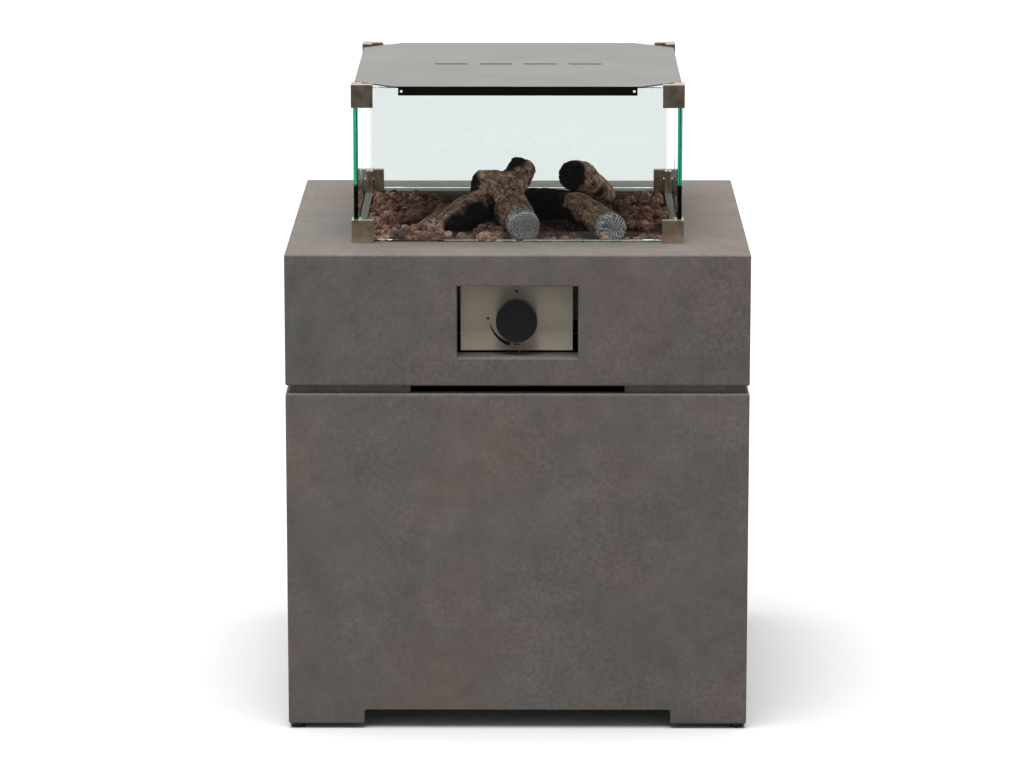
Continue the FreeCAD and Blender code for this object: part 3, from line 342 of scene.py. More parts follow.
# Control panel: a plate of stainless steel, brushed from side to side and fixed at the back of the recess.
# Its marks are etched black: a dot at off, a star at spark, a wedge that grows with the flame, and two dots
# at low flame.
panel_steel = linear("EADFCC")
etched_black = linear("151515")
panel_ease = 0.3 * MM
mark_height = 0.1 * MM
side_to_side = (60 * MM, 0.5 * MM, 0.35 * MM)
off_radius, off_dot_radius = 30 * MM, 1.5 * MM
spark_radius, spark_points = 31 * MM, (2.6 * MM, 1.0 * MM)
wedge_radius, wedge_width, wedge_tip = 29 * MM, 4.6 * MM, 0.12
wedge_start, wedge_end, wedge_steps = 190, 256, 22
low_drop, low_aside, low_dot_radius = 28.5 * MM, 1.9 * MM, 1.2 * MM


def streaks(tree, place, grain, low, high):
    """Fine scratches: grain gives their size along X, Y and Z in metres."""
    stretched = add_node(tree, "ShaderNodeMapping", {"Vector": place, "Scale": [1 / size for size in grain]})
    return patches(tree, stretched.outputs[0], 1.0, low, high)


def brushed_metal(name, colour, grain, roughness, cloud=30 * MM, uneven=0.06, scratch=0.01 * MM, smear=0.0):
    """Metal brushed along its longest grain, with faint clouds where hands and heat have touched it.
    smear draws what is mirrored out across the grain, on a flat piece that is brushed along X."""
    material, tree, place = new_surface(name)
    scratches = streaks(tree, place, grain, 0.0, 1.0)
    lines = streaks(tree, place, grain, 1 - uneven, 1 + uneven)
    clouds = patches(tree, place, cloud, 1 - uneven, 1 + uneven, 3.0)
    gloss = patches(tree, place, cloud, 0.9 * roughness, 1.15 * roughness)
    shader = add_node(tree, "ShaderNodeBsdfPrincipled",
                      {"Base Color": shaded(tree, colour, lines, clouds), "Metallic": 1.0,
                       "Roughness": gloss, "Anisotropic": smear,
                       "Normal": relief(tree, (scratches, scratch))})
    if smear:
        upward = add_node(tree, "ShaderNodeCombineXYZ", {2: 1.0})
        tree.links.new(upward.outputs[0], shader.inputs["Tangent"])
    add_node(tree, "ShaderNodeOutputMaterial", {"Surface": shader.outputs[0]})
    return material


def flat_mark(shape, outline, front, depth):
    """A thin closed plate in the XZ plane: outline is a list of (x, z) going anticlockwise from in front."""
    near = [shape.verts.new((x, front, z)) for x, z in outline]
    far = [shape.verts.new((x, front + depth, z)) for x, z in outline]
    shape.faces.new(near)
    shape.faces.new(far[::-1])
    for here in range(len(outline)):
        after = (here + 1) % len(outline)
        shape.faces.new((near[after], near[here], far[here], far[after]))


def around(centre, radius, degrees):
    """A point on a circle as seen from in front: 0 degrees is to the right and 90 degrees is up."""
    angle = math.radians(degrees)
    return centre[0] + radius * math.cos(angle), centre[1] + radius * math.sin(angle)


def dot_outline(centre, radius):
    return [around(centre, radius, 30 * step) for step in range(12)]


def added_piece(name, mesh, material, node):
    """A small piece that stands for no CAD node but goes where the given node goes."""
    piece = bpy.data.objects.new(name, mesh)
    bpy.context.scene.collection.objects.link(piece)
    mesh.materials.append(material)
    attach(piece, body_holding(node))
    return piece


panel_finish = brushed_metal("brushed stainless steel, panel", panel_steel, side_to_side, 0.46, smear=0.96)
eased_copy("control_panel", panel_finish, panel_ease)
knob_low, knob_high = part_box("control_knob")
dial = ((knob_low[0] + knob_high[0]) / 2, (knob_low[2] + knob_high[2]) / 2)
mark_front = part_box("control_panel")[0][1] - mark_height
spark_place = (dial[0] - spark_radius, dial[1])
wedge_edges = ([], [])
for step in range(wedge_steps + 1):
    share = step / wedge_steps
    degrees = wedge_start + (wedge_end - wedge_start) * share
    reach = wedge_width * (wedge_tip + (1 - wedge_tip) * share) / 2
    wedge_edges[0].append(around(dial, wedge_radius - reach, degrees))
    wedge_edges[1].append(around(dial, wedge_radius + reach, degrees))
mark_shape = bmesh.new()
for mark in (dot_outline((dial[0], dial[1] + off_radius), off_dot_radius),
             [around(spark_place, spark_points[step % 2], 22.5 * step) for step in range(16)],
             wedge_edges[1] + wedge_edges[0][::-1],
             dot_outline((dial[0] - low_aside, dial[1] - low_drop), low_dot_radius),
             dot_outline((dial[0] + low_aside, dial[1] - low_drop), low_dot_radius)):
    flat_mark(mark_shape, mark, mark_front, 2 * mark_height)
mark_mesh = bpy.data.meshes.new("dial_marks")
mark_shape.to_mesh(mark_mesh)
mark_shape.free()
added_piece("dial_marks", mark_mesh, moulded_plastic("etched and blackened steel", etched_black, 0.5),
            "control_panel")

# Control knob: a disc moulded in black phenolic with a rounded front rim, which a grub screw holds on the
# spindle. A shallow dimple near the rim shows where it points.
knob_black = linear("17181A")
knob_ease = 1.2 * MM
phenolic = moulded_plastic("moulded phenolic, black", knob_black, 0.32, 1.2 * MM, 0.015 * MM)
eased_copy("control_knob", phenolic, knob_ease)

# Glass guard: four panes of clear float glass with arrissed and polished edges, which stand on the tabletop.
# Iron in the glass tints it green: hardly at all through a pane, but strongly along it, so edges are green.
arris = 0.5 * MM
glass_clear = (1, 1, 1, 1)
glass_shadow = (0.97, 0.98, 0.975, 1)
float_glass_green = (0.0, 0.70, 0.54, 1.0)
float_glass_density = 12.5


def float_glass():
    """Clear glass with a green body; shadows and thrown light go straight through it."""
    material, tree, _ = new_surface("clear float glass")
    ray = add_node(tree, "ShaderNodeLightPath")
    unseen = add_node(tree, "ShaderNodeMath",
                      {0: ray.outputs["Is Shadow Ray"], 1: ray.outputs["Is Diffuse Ray"]},
                      operation="MAXIMUM")
    glass = add_node(tree, "ShaderNodeBsdfPrincipled",
                     {"Base Color": glass_clear, "Roughness": 0.0, "IOR": 1.52, "Transmission Weight": 1.0})
    clear = add_node(tree, "ShaderNodeBsdfTransparent", {"Color": glass_shadow})
    either = add_node(tree, "ShaderNodeMixShader",
                      {0: unseen.outputs[0], 1: glass.outputs[0], 2: clear.outputs[0]})
    tint = add_node(tree, "ShaderNodeVolumeAbsorption",
                    {"Color": float_glass_green, "Density": float_glass_density})
    add_node(tree, "ShaderNodeOutputMaterial", {"Surface": either.outputs[0], "Volume": tint.outputs[0]})
    return material


def plain_block(low, high):
    """A box mesh between two corners, with its faces outward."""
    shape = bmesh.new()
    bmesh.ops.create_cube(shape, size=1.0)
    for vertex in shape.verts:
        vertex.co = [low[axis] + (high[axis] - low[axis]) * (vertex.co[axis] + 0.5) for axis in range(3)]
    return shape


clear_glass = float_glass()
for pane in ("glass_front", "glass_right", "glass_rear", "glass_left"):
    pane_shape = plain_block(*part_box(pane))
    bmesh.ops.bevel(pane_shape, geom=pane_shape.edges[:], offset=arris, segments=1, profile=0.5,
                    affect="EDGES")
    pane_mesh = bpy.data.meshes.new("arrissed_" + pane)
    pane_shape.to_mesh(pane_mesh)
    pane_shape.free()
    finished_piece("arrissed_" + pane, pane_mesh, clear_glass, pane)

# Corner clamps: stainless brackets that grip the panes at top and bottom, linished upright and browned by
# heat. Each is held on by two small set screws.
clamp_steel = linear("BBAB97")
screw_steel = linear("B4AFA8")
clamp_ease = 0.6 * MM
screw_ease = 0.2 * MM
upright = (0.6 * MM, 0.6 * MM, 14 * MM)
turned = (0.7 * MM, 0.7 * MM, 0.7 * MM)
clamp_finish = brushed_metal("linished stainless steel, browned by heat", clamp_steel, upright, 0.3,
                             cloud=9 * MM, uneven=0.2, scratch=0.03 * MM)
for clamps in ("lower_clamps", "upper_clamps"):
    eased_copy(clamps, clamp_finish, clamp_ease)
screw_finish = brushed_metal("zinc plated steel", screw_steel, turned, 0.3)
eased_copy("clamp_screws", screw_finish, screw_ease)

# Lid: one stainless sheet with clipped corners, folded down at front and rear, brushed from side to side.
# It lies loose on the glass. Its folds are painted nearly black, as painted shade and painted reflection.
lid_steel = linear("85857E")
# The folds' colour: nearly black steel that is painted shade and painted reflection, not a colour of the
# lid.
fold_painted_shade = linear("2A2926")
lid_ease = 0.25 * MM
fold_height = 2.5 * MM
lid_finish = brushed_metal("brushed stainless steel, lid", lid_steel, side_to_side, 0.36, cloud=90 * MM,
                           uneven=0.03)
lid_piece = eased_copy("lid", lid_finish, lid_ease)
lid_piece.data.materials.append(brushed_metal("stainless steel, nearly black as painted shade", fold_painted_shade, side_to_side,
                                              0.4))
lid_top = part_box("lid")[1][2]
# The upright faces of the folds, below the top, take the nearly black painted shade.
for face in lid_piece.data.polygons:
    if abs(face.normal.y) > 0.7 and face.center.z < lid_top - fold_height:
        face.material_index = 1

# Burner pan: a folded tray of stainless steel whose bright rim lies in the table opening.
# Its walls have been straw-coloured and dulled by the fire.
pan_steel = linear("8E8A82")
pan_ease = 0.4 * MM
pan_finish = brushed_metal("folded stainless steel, dulled by fire", pan_steel, side_to_side, 0.42,
                           cloud=40 * MM, uneven=0.12)
eased_copy("burner_pan", pan_finish, pan_ease)

# Steel pieces inside, which show through the rear door and from below: galvanised sheet and plated screws.
# Galvanised sheet has crystals of zinc, here drawn a little large, each with its own shade. The valve's
# spring, wound from the same steel, is a copy of its CAD node with a mesh of its own.
zinc_grey = linear("8F9496")
zinc_crystal = 9 * MM
magnet_black = linear("232323")


def dress(nodes, material):
    """Gives carried-over CAD nodes their finish."""
    for node in nodes:
        for holder in frame["nodes"][node].material_slots:
            holder.material = material


def galvanised_sheet():
    """Zinc crystals as cells, each with its own shade and gloss."""
    material, tree, place = new_surface("galvanised steel sheet")
    crystals = add_node(tree, "ShaderNodeTexVoronoi", {"Vector": place, "Scale": 1 / zinc_crystal})
    tone = add_node(tree, "ShaderNodeSeparateColor", {0: crystals.outputs["Color"]}).outputs[0]
    shade = add_node(tree, "ShaderNodeMapRange", {"Value": tone, "To Min": 0.82, "To Max": 1.12}).outputs[0]
    gloss = add_node(tree, "ShaderNodeMapRange", {"Value": tone, "To Min": 0.35, "To Max": 0.55}).outputs[0]
    shader = add_node(tree, "ShaderNodeBsdfPrincipled",
                      {"Base Color": shaded(tree, zinc_grey, shade), "Metallic": 1.0, "Roughness": gloss})
    add_node(tree, "ShaderNodeOutputMaterial", {"Surface": shader.outputs[0]})
    return material


dress(("base_floor", "tie_straps", "pan_brackets", "heat_shield", "door_pivots", "door_keeper"),
      galvanised_sheet())
dress(("floor_screws", "strap_screws", "valve_screws", "bracket_screws", "shield_screws", "panel_screws",
       "knob_grub_screw"), screw_finish)
spring = finished_piece("wound_valve_spring", whole_faces("valve_spring"), screw_finish, "valve_spring")
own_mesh(spring)
dress(("door_magnet",), moulded_plastic("moulded nylon, black", magnet_black, 0.5))

# Gas train: a die-cast valve behind the panel, a brass inlet, nuts and injector, a bent copper feed pipe.
# The burner drum, its neck, nut and mixer tube are plain stainless, straw to brown from the flame.
alloy_grey = linear("9B9A96")
brass_yellow = linear("B79A5B")
copper_red = linear("B0704F")
flame_brown = linear("7C6F60")
blasted_grain, blasted_depth = 0.6 * MM, 0.05 * MM
dress(("gas_valve", "valve_plunger"),
      moulded_plastic("die-cast zinc alloy, shot blasted", alloy_grey, 0.45, blasted_grain, blasted_depth))
dress(("gas_inlet", "pipe_nuts", "injector", "valve_spindle"),
      brushed_metal("turned brass", brass_yellow, turned, 0.25))
dress(("gas_pipe",),
      brushed_metal("drawn copper, tarnished", copper_red, turned, 0.3, cloud=14 * MM, uneven=0.14))
dress(("mixer_tube", "burner_drum", "burner_locknut", "probe_bridge", "probe_hood"),
      brushed_metal("stainless steel, browned by flame", flame_brown, side_to_side, 0.4, cloud=18 * MM,
                    uneven=0.15))

# Ignition: a piezo igniter in black nylon, an electrode in glazed white ceramic, a thermocouple, and two
# leads in red-brown silicone, which run under the pan.
nylon_black = linear("2A2A2C")
ceramic_white = linear("D9D5CA")
silicone_brown = linear("6E3A2C")
glaze_grain, glaze_depth = 2 * MM, 0.01 * MM
dress(("piezo_igniter",), moulded_plastic("moulded nylon, glass filled", nylon_black, 0.42))
dress(("igniter_electrode", "thermocouple"),
      moulded_plastic("glazed alumina ceramic", ceramic_white, 0.2, glaze_grain, glaze_depth))
dress(("ignition_lead", "thermocouple_lead"),
      moulded_plastic("silicone rubber sleeve", silicone_brown, 0.55))

# Lava stones: broken basalt scoria, rough with gas bubbles, in red-brown to nearly black with a rare orange
# one. A bed fills the pan and more stones are heaped round the logs. Geometry Nodes roughen every stone,
# tint each one by itself, and strew chips of the same rock over what faces up.
lava_red = linear("B07664")
lava_dark = linear("573A32")
lava_dusty = linear("CFA196")
lava_orange = linear("AA6244")
bubble_size, bubble_depth = 2.6 * MM, 1.1 * MM
rock_grit_size, rock_grit_depth = 0.9 * MM, 0.35 * MM
rock_patch_size = 7 * MM
rock_fleck_size = 3 * MM
chip_lump_height = 9 * MM
chip_facing_up = 0.35
full_turn = (6.28, 6.28, 6.28)
stone_roughening = {"Lump size": 9 * MM, "Lump height": 3.2 * MM, "Swell": -0.6 * MM,
                    "Chip spacing": 15 * MM, "Chip size": 3.2 * MM, "Chip rounding": 1, "Seed": 7}
heap_roughening = {**stone_roughening, "Swell": 0.8 * MM, "Chip spacing": 9 * MM, "Chip size": 3.8 * MM,
                   "Chip rounding": 2}


def lava_rock():
    """Red and dark patches, some stones dusty and a rare one orange, darker in pits, and painted shade in
    hollows.
    """
    material, tree, place = new_surface("porous lava rock")
    tint = add_node(tree, "ShaderNodeAttribute", attribute_name="tint").outputs["Fac"]
    bubbles = add_node(tree, "ShaderNodeTexVoronoi", {"Vector": place, "Scale": 1 / bubble_size})
    pit = add_node(tree, "ShaderNodeMapRange",
                   {"Value": bubbles.outputs["Distance"], "From Min": 0.1, "From Max": 0.5}).outputs[0]
    patch = patches(tree, place, rock_patch_size, 0.0, 1.0, 3.0)
    dusty = add_node(tree, "ShaderNodeMapRange",
                     {"Value": tint, "From Min": 0.5, "From Max": 1.0, "To Max": 0.7}).outputs[0]
    rare = add_node(tree, "ShaderNodeMapRange",
                    {"Value": tint, "From Min": 0.955, "From Max": 0.96}).outputs[0]
    colour = coated(tree, lava_red, (patch, lava_dark), (dusty, lava_dusty), (rare, lava_orange))
    deep = add_node(tree, "ShaderNodeMapRange", {"Value": pit, "To Min": 0.35, "To Max": 1.12}).outputs[0]
    flecks = patches(tree, place, rock_fleck_size, 0.7, 1.3, 2.0)
    # Painted shade: darker where a point lies deep in a hollow between lumps, a little lighter on the lumps.
    hollow_shade = add_node(tree, "ShaderNodeAttribute", attribute_name="hollow_shade").outputs["Fac"]
    hollow_shade = add_node(tree, "ShaderNodeMapRange", {"Value": hollow_shade, "From Min": 0.3, "From Max": 0.65,
                                                   "To Min": 1.15, "To Max": 0.2}).outputs[0]
    grit = patches(tree, place, rock_grit_size, 0.0, 1.0, 2.0)
    normal = relief(tree, (pit, bubble_depth), (grit, rock_grit_depth))
    shader = add_node(tree, "ShaderNodeBsdfPrincipled",
                      {"Base Color": shaded(tree, colour, deep, flecks, hollow_shade), "Roughness": 0.95,
                       "Specular IOR Level": 0.2, "Normal": normal})
    add_node(tree, "ShaderNodeOutputMaterial", {"Surface": shader.outputs[0]})
    return material


def node_group(name, sizes):
    """An empty geometry tree with a mesh in and out, and a named input for each size and the material."""
    tree = bpy.data.node_groups.new(name, "GeometryNodeTree")
    tree.interface.new_socket("Geometry", in_out="INPUT", socket_type="NodeSocketGeometry")
    for label, value in sizes.items():
        kind = "NodeSocketInt" if isinstance(value, int) else "NodeSocketFloat"
        tree.interface.new_socket(label, in_out="INPUT", socket_type=kind)
    tree.interface.new_socket("Finish", in_out="INPUT", socket_type="NodeSocketMaterial")
    tree.interface.new_socket("Geometry", in_out="OUTPUT", socket_type="NodeSocketGeometry")
    return tree, tree.nodes.new("NodeGroupInput").outputs


def plain_mesh(stand):
    """What an object's modifiers make of it, as plain faces; the object itself goes."""
    made = bpy.data.meshes.new_from_object(stand.evaluated_get(bpy.context.evaluated_depsgraph_get()))
    bpy.data.objects.remove(stand)
    return made


def grown(mesh, tree, sizes, material):
    """The mesh that a geometry tree makes of the given one."""
    stand = bpy.data.objects.new("stand", mesh)
    bpy.context.scene.collection.objects.link(stand)
    modifier = stand.modifiers.new("tree", "NODES")
    modifier.node_group = tree
    for item in tree.interface.items_tree:
        if item.in_out == "INPUT" and item.name in sizes:
            modifier[item.identifier] = sizes[item.name]
        if item.in_out == "INPUT" and item.name == "Finish":
            modifier[item.identifier] = material
    return plain_mesh(stand)


def rough_stones():
    """Geometry tree: subdivides each stone, pushes it into lumps, tints it and strews chips on it."""
    tree, given = node_group("rough stones", stone_roughening)
    island = add_node(tree, "GeometryNodeInputMeshIsland").outputs["Island Index"]
    chance = add_node(tree, "FunctionNodeRandomValue", {"ID": island, "Seed": given["Seed"]},
                      data_type="FLOAT")
    tinted = add_node(tree, "GeometryNodeStoreNamedAttribute",
                      {"Geometry": given["Geometry"], "Name": "tint", "Value": chance.outputs[1]},
                      data_type="FLOAT", domain="POINT")
    round_stones = add_node(tree, "GeometryNodeSubdivisionSurface",
                            {"Mesh": tinted.outputs[0], "Level": 3, "Edge Crease": 0.35})
    place = add_node(tree, "GeometryNodeInputPosition").outputs[0]
    normal = add_node(tree, "GeometryNodeInputNormal").outputs[0]
    often = add_node(tree, "ShaderNodeMath", {0: 1.0, 1: given["Lump size"]}, operation="DIVIDE").outputs[0]
    cells = add_node(tree, "ShaderNodeTexVoronoi", {"Vector": place, "Scale": often}, feature="SMOOTH_F1")
    lump = add_node(tree, "ShaderNodeMath", {0: 0.45, 1: cells.outputs["Distance"]},
                    operation="SUBTRACT").outputs[0]
    height = add_node(tree, "ShaderNodeMath", {0: lump, 1: given["Lump height"]}, operation="MULTIPLY")
    height = add_node(tree, "ShaderNodeMath", {0: height.outputs[0], 1: given["Swell"]},
                      operation="ADD").outputs[0]
    push = add_node(tree, "ShaderNodeVectorMath", {0: normal, "Scale": height}, operation="SCALE").outputs[0]
    # Keeps how far each point lies from a lump's middle, which the stone finish turns into painted shade.
    with_hollow_shade = add_node(tree, "GeometryNodeStoreNamedAttribute",
                        {"Geometry": round_stones.outputs[0], "Name": "hollow_shade",
                         "Value": cells.outputs["Distance"]}, data_type="FLOAT", domain="POINT")
    lumpy = add_node(tree, "GeometryNodeSetPosition", {"Geometry": with_hollow_shade.outputs[0], "Offset": push})
    upward = add_node(tree, "ShaderNodeSeparateXYZ", {0: normal}).outputs["Z"]
    facing_up = add_node(tree, "FunctionNodeCompare", {0: upward, 1: chip_facing_up}, data_type="FLOAT",
                         operation="GREATER_THAN").outputs[0]
    spots = add_node(tree, "GeometryNodeDistributePointsOnFaces",
                     {"Mesh": lumpy.outputs[0], "Selection": facing_up, "Density Max": 30000.0,
                      "Distance Min": given["Chip spacing"], "Seed": given["Seed"]},
                     distribute_method="POISSON")
    spot_chance = add_node(tree, "FunctionNodeRandomValue", {"Seed": given["Seed"]}, data_type="FLOAT")
    chip_tint = add_node(tree, "ShaderNodeMath", {0: spot_chance.outputs[1], 1: 0.93}, operation="MULTIPLY")
    spots = add_node(tree, "GeometryNodeStoreNamedAttribute",
                     {"Geometry": spots.outputs[0], "Name": "tint", "Value": chip_tint.outputs[0]},
                     data_type="FLOAT", domain="POINT")
    chip = add_node(tree, "GeometryNodeMeshIcoSphere",
                    {"Radius": given["Chip size"], "Subdivisions": given["Chip rounding"]})
    oftener = add_node(tree, "ShaderNodeMath", {0: often, 1: 1.5}, operation="MULTIPLY")
    chip_cells = add_node(tree, "ShaderNodeTexNoise",
                          {"Vector": place, "Scale": oftener.outputs[0], "Detail": 1.0})
    chip_lump = add_node(tree, "ShaderNodeMath", {0: chip_cells.outputs[0], 1: 0.5}, operation="SUBTRACT")
    chip_height = add_node(tree, "ShaderNodeMath", {0: chip_lump.outputs[0], 1: chip_lump_height},
                           operation="MULTIPLY")
    chip_push = add_node(tree, "ShaderNodeVectorMath", {0: normal, "Scale": chip_height.outputs[0]},
                         operation="SCALE")
    chip = add_node(tree, "GeometryNodeSetPosition",
                    {"Geometry": chip.outputs[0], "Offset": chip_push.outputs[0]})
    turn = add_node(tree, "FunctionNodeRandomValue",
                    {0: (0.0, 0.0, 0.0), 1: full_turn, "Seed": given["Seed"]}, data_type="FLOAT_VECTOR")
    size = add_node(tree, "FunctionNodeRandomValue", {2: 0.55, 3: 1.35, "Seed": given["Seed"]},
                    data_type="FLOAT")
    chips = add_node(tree, "GeometryNodeInstanceOnPoints",
                     {"Points": spots.outputs[0], "Instance": chip.outputs[0],
                      "Rotation": turn.outputs[0], "Scale": size.outputs[1]})
    real_chips = add_node(tree, "GeometryNodeRealizeInstances", {0: chips.outputs[0]})
    both = add_node(tree, "GeometryNodeJoinGeometry", {0: lumpy.outputs[0]})
    tree.links.new(real_chips.outputs[0], both.inputs[0])
    smooth = add_node(tree, "GeometryNodeSetShadeSmooth", {"Geometry": both.outputs[0]})
    done = add_node(tree, "GeometryNodeSetMaterial",
                    {"Geometry": smooth.outputs[0], "Material": given["Finish"]})
    add_node(tree, "NodeGroupOutput", {0: done.outputs[0]})
    return tree


stone_finish = lava_rock()
stone_tree = rough_stones()
for heap, roughening in (("stone_bed", stone_roughening), ("stone_pile", heap_roughening)):
    heap_mesh = grown(whole_faces(heap), stone_tree, roughening, stone_finish)
    finished_piece("rough_" + heap, heap_mesh, None, heap)

# Logs: five pieces of ceramic fibre, vacuum formed to look like split wood, painted by hand and laid on the
# stones. Their ends are whitened like ash. The black on their stubs is char; on their undersides and the
# back log it is char and painted shade at once. Each middle is a point of the log's centre line and its
# radius, and each spot a centre and reach, in mm over the stones.
bark_brown = linear("A67A66")
bark_dark = linear("3C2F29")
bark_tan = linear("F0C9B0")
# The black below is char and painted shade in one colour.
char_and_shade_black = linear("0E0E0E")
char_worn = linear("2E2C2A")
ash_pale = linear("FAFAF8")
ash_grey = linear("6A717A")
stones_top = Vector((0, 0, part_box("stone_bed")[1][2]))
remesh_size = 1.5 * MM
spot_edge = 7 * MM
wander_size, wander_reach = 11 * MM, 5 * MM
furrow_size, fine_furrow_size, furrow_depth = 5 * MM, 2.6 * MM, 0.9
crack_size, crack_depth = 8 * MM, 1.3
swell_size, swell_depth = 26 * MM, 1.8
skin_sunk = 0.8
flat_from_share, flattening = 0.42, 0.5
ring_lines, ray_lines = 2.9, 16.0
bark_patch, bark_fleck, bark_shade, char_patch, ash_patch = 6 * MM, 3.2 * MM, 15 * MM, 4 * MM, 10 * MM
fibre_size, fibre_height, ash_line_height = 0.8 * MM, 0.3 * MM, 0.5 * MM
logs = {
    "log_back": {"middles": [(-52, 46, 17, 15), (-20, 38, 19, 19), (20, 30, 20, 20), (52, 34, 19, 18),
                             (76, 44, 17, 14)],
                 "char_and_shade": [(-30, 34, 20, 60), (40, 26, 20, 62)], "ash": [], "rings": 0.0},
    "log_left": {"middles": [(-104, -110, 12, 12), (-78, -88, 19, 18), (-56, -62, 26, 20),
                             (-38, -36, 31, 18)],
                 "char_and_shade": [(-66, -94, 6, 26), (-46, -74, 12, 30), (-92, -114, 0, 14), (-30, -40, 18, 26)],
                 "ash": [], "rings": 0.0},
    "log_right": {"middles": [(48, 2, 25, 15), (66, -26, 25, 18), (86, -64, 20, 18), (105, -112, 16, 17)],
                  "char_and_shade": [(40, -8, 20, 27), (52, -40, 8, 22), (68, -72, 2, 18)],
                  "ash": [(108, -126, 12, 33)], "rings": 0.0},
    "log_forked": {"middles": [(8, -112, 17, 18), (-3, -66, 25, 20), (-15, -28, 37, 22), (-28, -4, 43, 22),
                               (-46, 8, 45, 18)],
                   "fork": [(-14, -22, 41, 17), (0, 4, 56, 17), (6, 14, 68, 16)],
                   "char_and_shade": [(-64, -2, 44, 25), (-10, 2, 80, 20), (-40, -30, 20, 20), (26, 0, 40, 17)],
                   "ash": [(8, -126, 12, 38)], "rings": 1.0},
    "log_leaning": {"middles": [(60, -6, 59, 18), (70, 12, 53, 20), (84, 36, 38, 19), (98, 60, 22, 16)],
                    "char_and_shade": [(50, -18, 60, 27), (60, 10, 32, 20), (84, 22, 40, 14)],
                    "ash": [], "rings": 0.0},
}


def spot_share(place, spots):
    """How far a place lies inside hand-painted spots: 1 well inside, 0 outside, and soft between."""
    share = 0.0
    for x, y, z, reach in spots:
        away = (place - Vector((x, y, z)) * MM).length
        share = max(share, min(1.0, max(0.0, (reach * MM - away) / spot_edge + 0.5)))
    return share


def ceramic_log_mesh(node, sizes):
    """Remeshes the CAD log, squares off its round ends and works furrows, cracks and rings into it."""
    stand = bpy.data.objects.new("stand", whole_faces(node))
    bpy.context.scene.collection.objects.link(stand)
    skin = stand.modifiers.new("skin", "REMESH")
    skin.mode = "VOXEL"
    skin.voxel_size = remesh_size
    soften = stand.modifiers.new("soften", "SMOOTH")
    soften.factor = 0.5
    soften.iterations = 5
    mesh = plain_mesh(stand)
    line = [Vector(middle[:3]) * MM for middle in sizes["middles"]]
    grain = (line[-1] - line[0]).normalized()
    ends = [(sizes["middles"][0], sizes["middles"][1]), (sizes["middles"][-1], sizes["middles"][-2])]
    if "fork" in sizes:
        ends.append((sizes["fork"][-1], sizes["fork"][-2]))
    caps = []
    for end, before in ends:
        centre = Vector(end[:3]) * MM
        caps.append((centre, (centre - Vector(before[:3]) * MM).normalized(), end[3] * MM))
    painted = {"char_and_shade": [], "ash": [], "crease_shade": [], "ring": [], "ray": []}
    moved = []
    for vertex in mesh.vertices:
        place = vertex.co - stones_top
        wander = noise.noise_vector(place / wander_size) * wander_reach
        along = place.dot(grain)
        fibre = place - grain * along * 0.8
        # How much black a point takes: char, and on undersides and the back log painted shade as well.
        black = spot_share(place + wander, sizes["char_and_shade"])
        white = spot_share(place + wander * 0.6, sizes["ash"]) * (1 - black)
        furrow = noise.noise(fibre / furrow_size) + 0.6 * noise.noise(fibre / fine_furrow_size)
        near, _ = noise.voronoi(place / crack_size)
        crack = max(0.0, 1 - (near[1] - near[0]) * 5)
        cap_centre, outward, cap_radius = max(caps, key=lambda cap: (place - cap[0]).dot(cap[1]))
        from_cap = place - cap_centre
        beyond = from_cap.dot(outward)
        across = (from_cap - outward * beyond).length
        sideward = outward.orthogonal()
        turn = math.atan2(from_cap.dot(sideward), from_cap.dot(outward.cross(sideward)))
        depth = furrow_depth * furrow * (1 - 0.6 * black) * (1 - 0.7 * white) - crack_depth * crack * black
        depth += swell_depth * noise.noise(place / swell_size)
        offset = vertex.normal * (depth - skin_sunk) * MM
        flat_from = flat_from_share * cap_radius
        if beyond > flat_from:
            offset -= outward * (beyond - flat_from) * flattening
        moved.append(vertex.co + offset)
        painted["char_and_shade"].append(black)
        painted["ash"].append(white)
        # Lower in furrows and in cracks through the char: where the finish paints shade into the creases.
        painted["crease_shade"].append(0.5 + 0.5 * furrow * (1 - white) - 0.5 * crack * black)
        painted["ring"].append(sizes["rings"] * across / MM)
        painted["ray"].append((1 - sizes["rings"]) * turn)
    for vertex, target in zip(mesh.vertices, moved):
        vertex.co = target
    for name, amounts in painted.items():
        mesh.attributes.new(name, "FLOAT", "POINT").data.foreach_set("value", amounts)
    for face in mesh.polygons:
        face.use_smooth = True
    mesh.materials.clear()
    return mesh


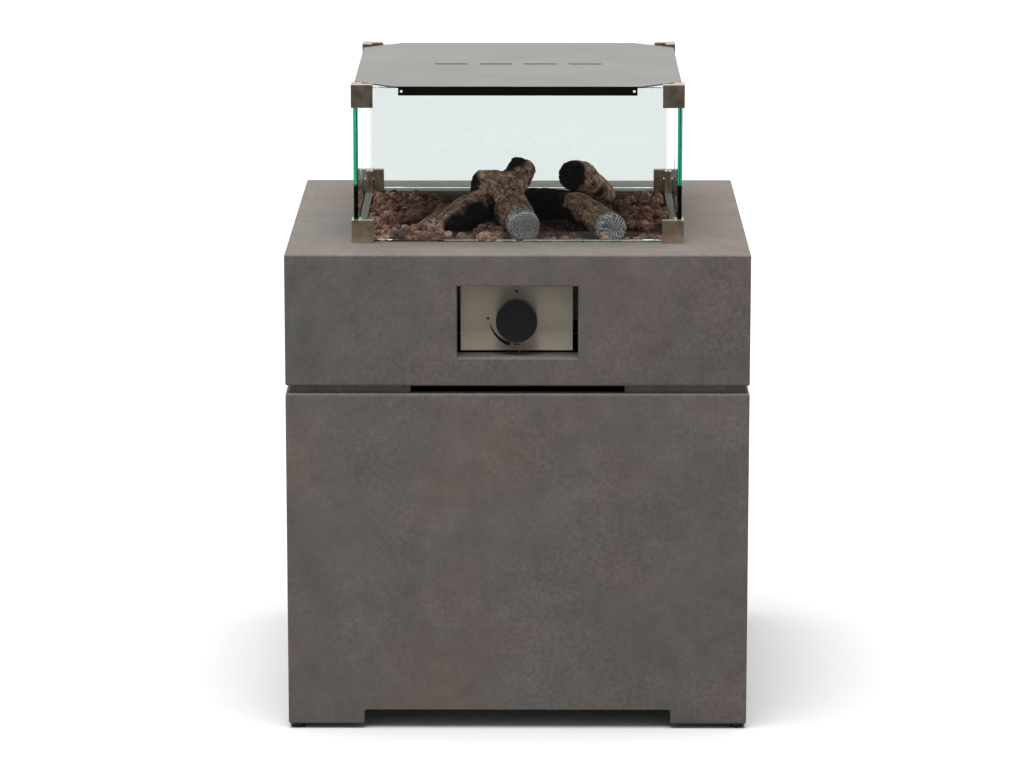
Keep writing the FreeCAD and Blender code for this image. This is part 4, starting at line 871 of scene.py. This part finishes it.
def painted_ceramic():
    """Matt ceramic fibre: brown bark with flecks and painted shade in its creases, black char with worn
    edges that is also painted shade on undersides, and pale ash with lines.
    """
    material, tree, place = new_surface("painted ceramic fibre")
    values = {name: add_node(tree, "ShaderNodeAttribute", attribute_name=name).outputs["Fac"]
              for name in ("char_and_shade", "ash", "crease_shade", "ring", "ray")}
    tan = patches(tree, place, bark_patch, 0.0, 1.0, 3.0)
    flecks = add_node(tree, "ShaderNodeMapRange", {"Value": patches(tree, place, bark_fleck, 0.0, 1.0, 3.0),
                                                   "From Min": 0.6, "From Max": 0.85}).outputs[0]
    bark = coated(tree, bark_brown, (tan, bark_tan), (flecks, bark_dark))
    # Painted shade: the bark darker in furrows and cracks, lighter on the ridges between them.
    hollow_shade = add_node(tree, "ShaderNodeMapRange", {"Value": values["crease_shade"], "From Min": 0.2,
                                                   "From Max": 0.75, "To Min": 0.5, "To Max": 1.4})
    shade = patches(tree, place, bark_shade, 0.45, 1.5, 4.0, 0.65)
    bark = shaded(tree, bark, hollow_shade.outputs[0], shade)
    # The black coat: char and painted shade in one.
    black = coated(tree, char_and_shade_black, (patches(tree, place, char_patch, 0.0, 0.7, 3.0), char_worn))
    wave = patches(tree, place, ash_patch, -6.0, 6.0, 4.0, 0.65)
    for value, often in ((values["ring"], ring_lines), (values["ray"], ray_lines)):
        wave = add_node(tree, "ShaderNodeMath", {0: value, 1: often, 2: wave},
                        operation="MULTIPLY_ADD").outputs[0]
    wave = add_node(tree, "ShaderNodeMath", {0: wave}, operation="SINE").outputs[0]
    lines = add_node(tree, "ShaderNodeMapRange",
                     {"Value": wave, "From Min": -1.0, "From Max": 0.5}).outputs[0]
    pale = coated(tree, ash_grey, (lines, ash_pale))
    colour = coated(tree, bark, (values["ash"], pale), (values["char_and_shade"], black))
    fibres = patches(tree, place, fibre_size, 0.0, 1.0, 2.0)
    ash_lines = add_node(tree, "ShaderNodeMath", {0: lines, 1: values["ash"]}, operation="MULTIPLY")
    normal = relief(tree, (fibres, fibre_height), (ash_lines.outputs[0], ash_line_height))
    shader = add_node(tree, "ShaderNodeBsdfPrincipled", {"Base Color": colour, "Roughness": 0.9,
                                                         "Specular IOR Level": 0.25, "Normal": normal})
    add_node(tree, "ShaderNodeOutputMaterial", {"Surface": shader.outputs[0]})
    return material


log_finish = painted_ceramic()
for log, log_sizes in logs.items():
    finished_piece("bark_" + log, ceramic_log_mesh(log, log_sizes), log_finish, log)
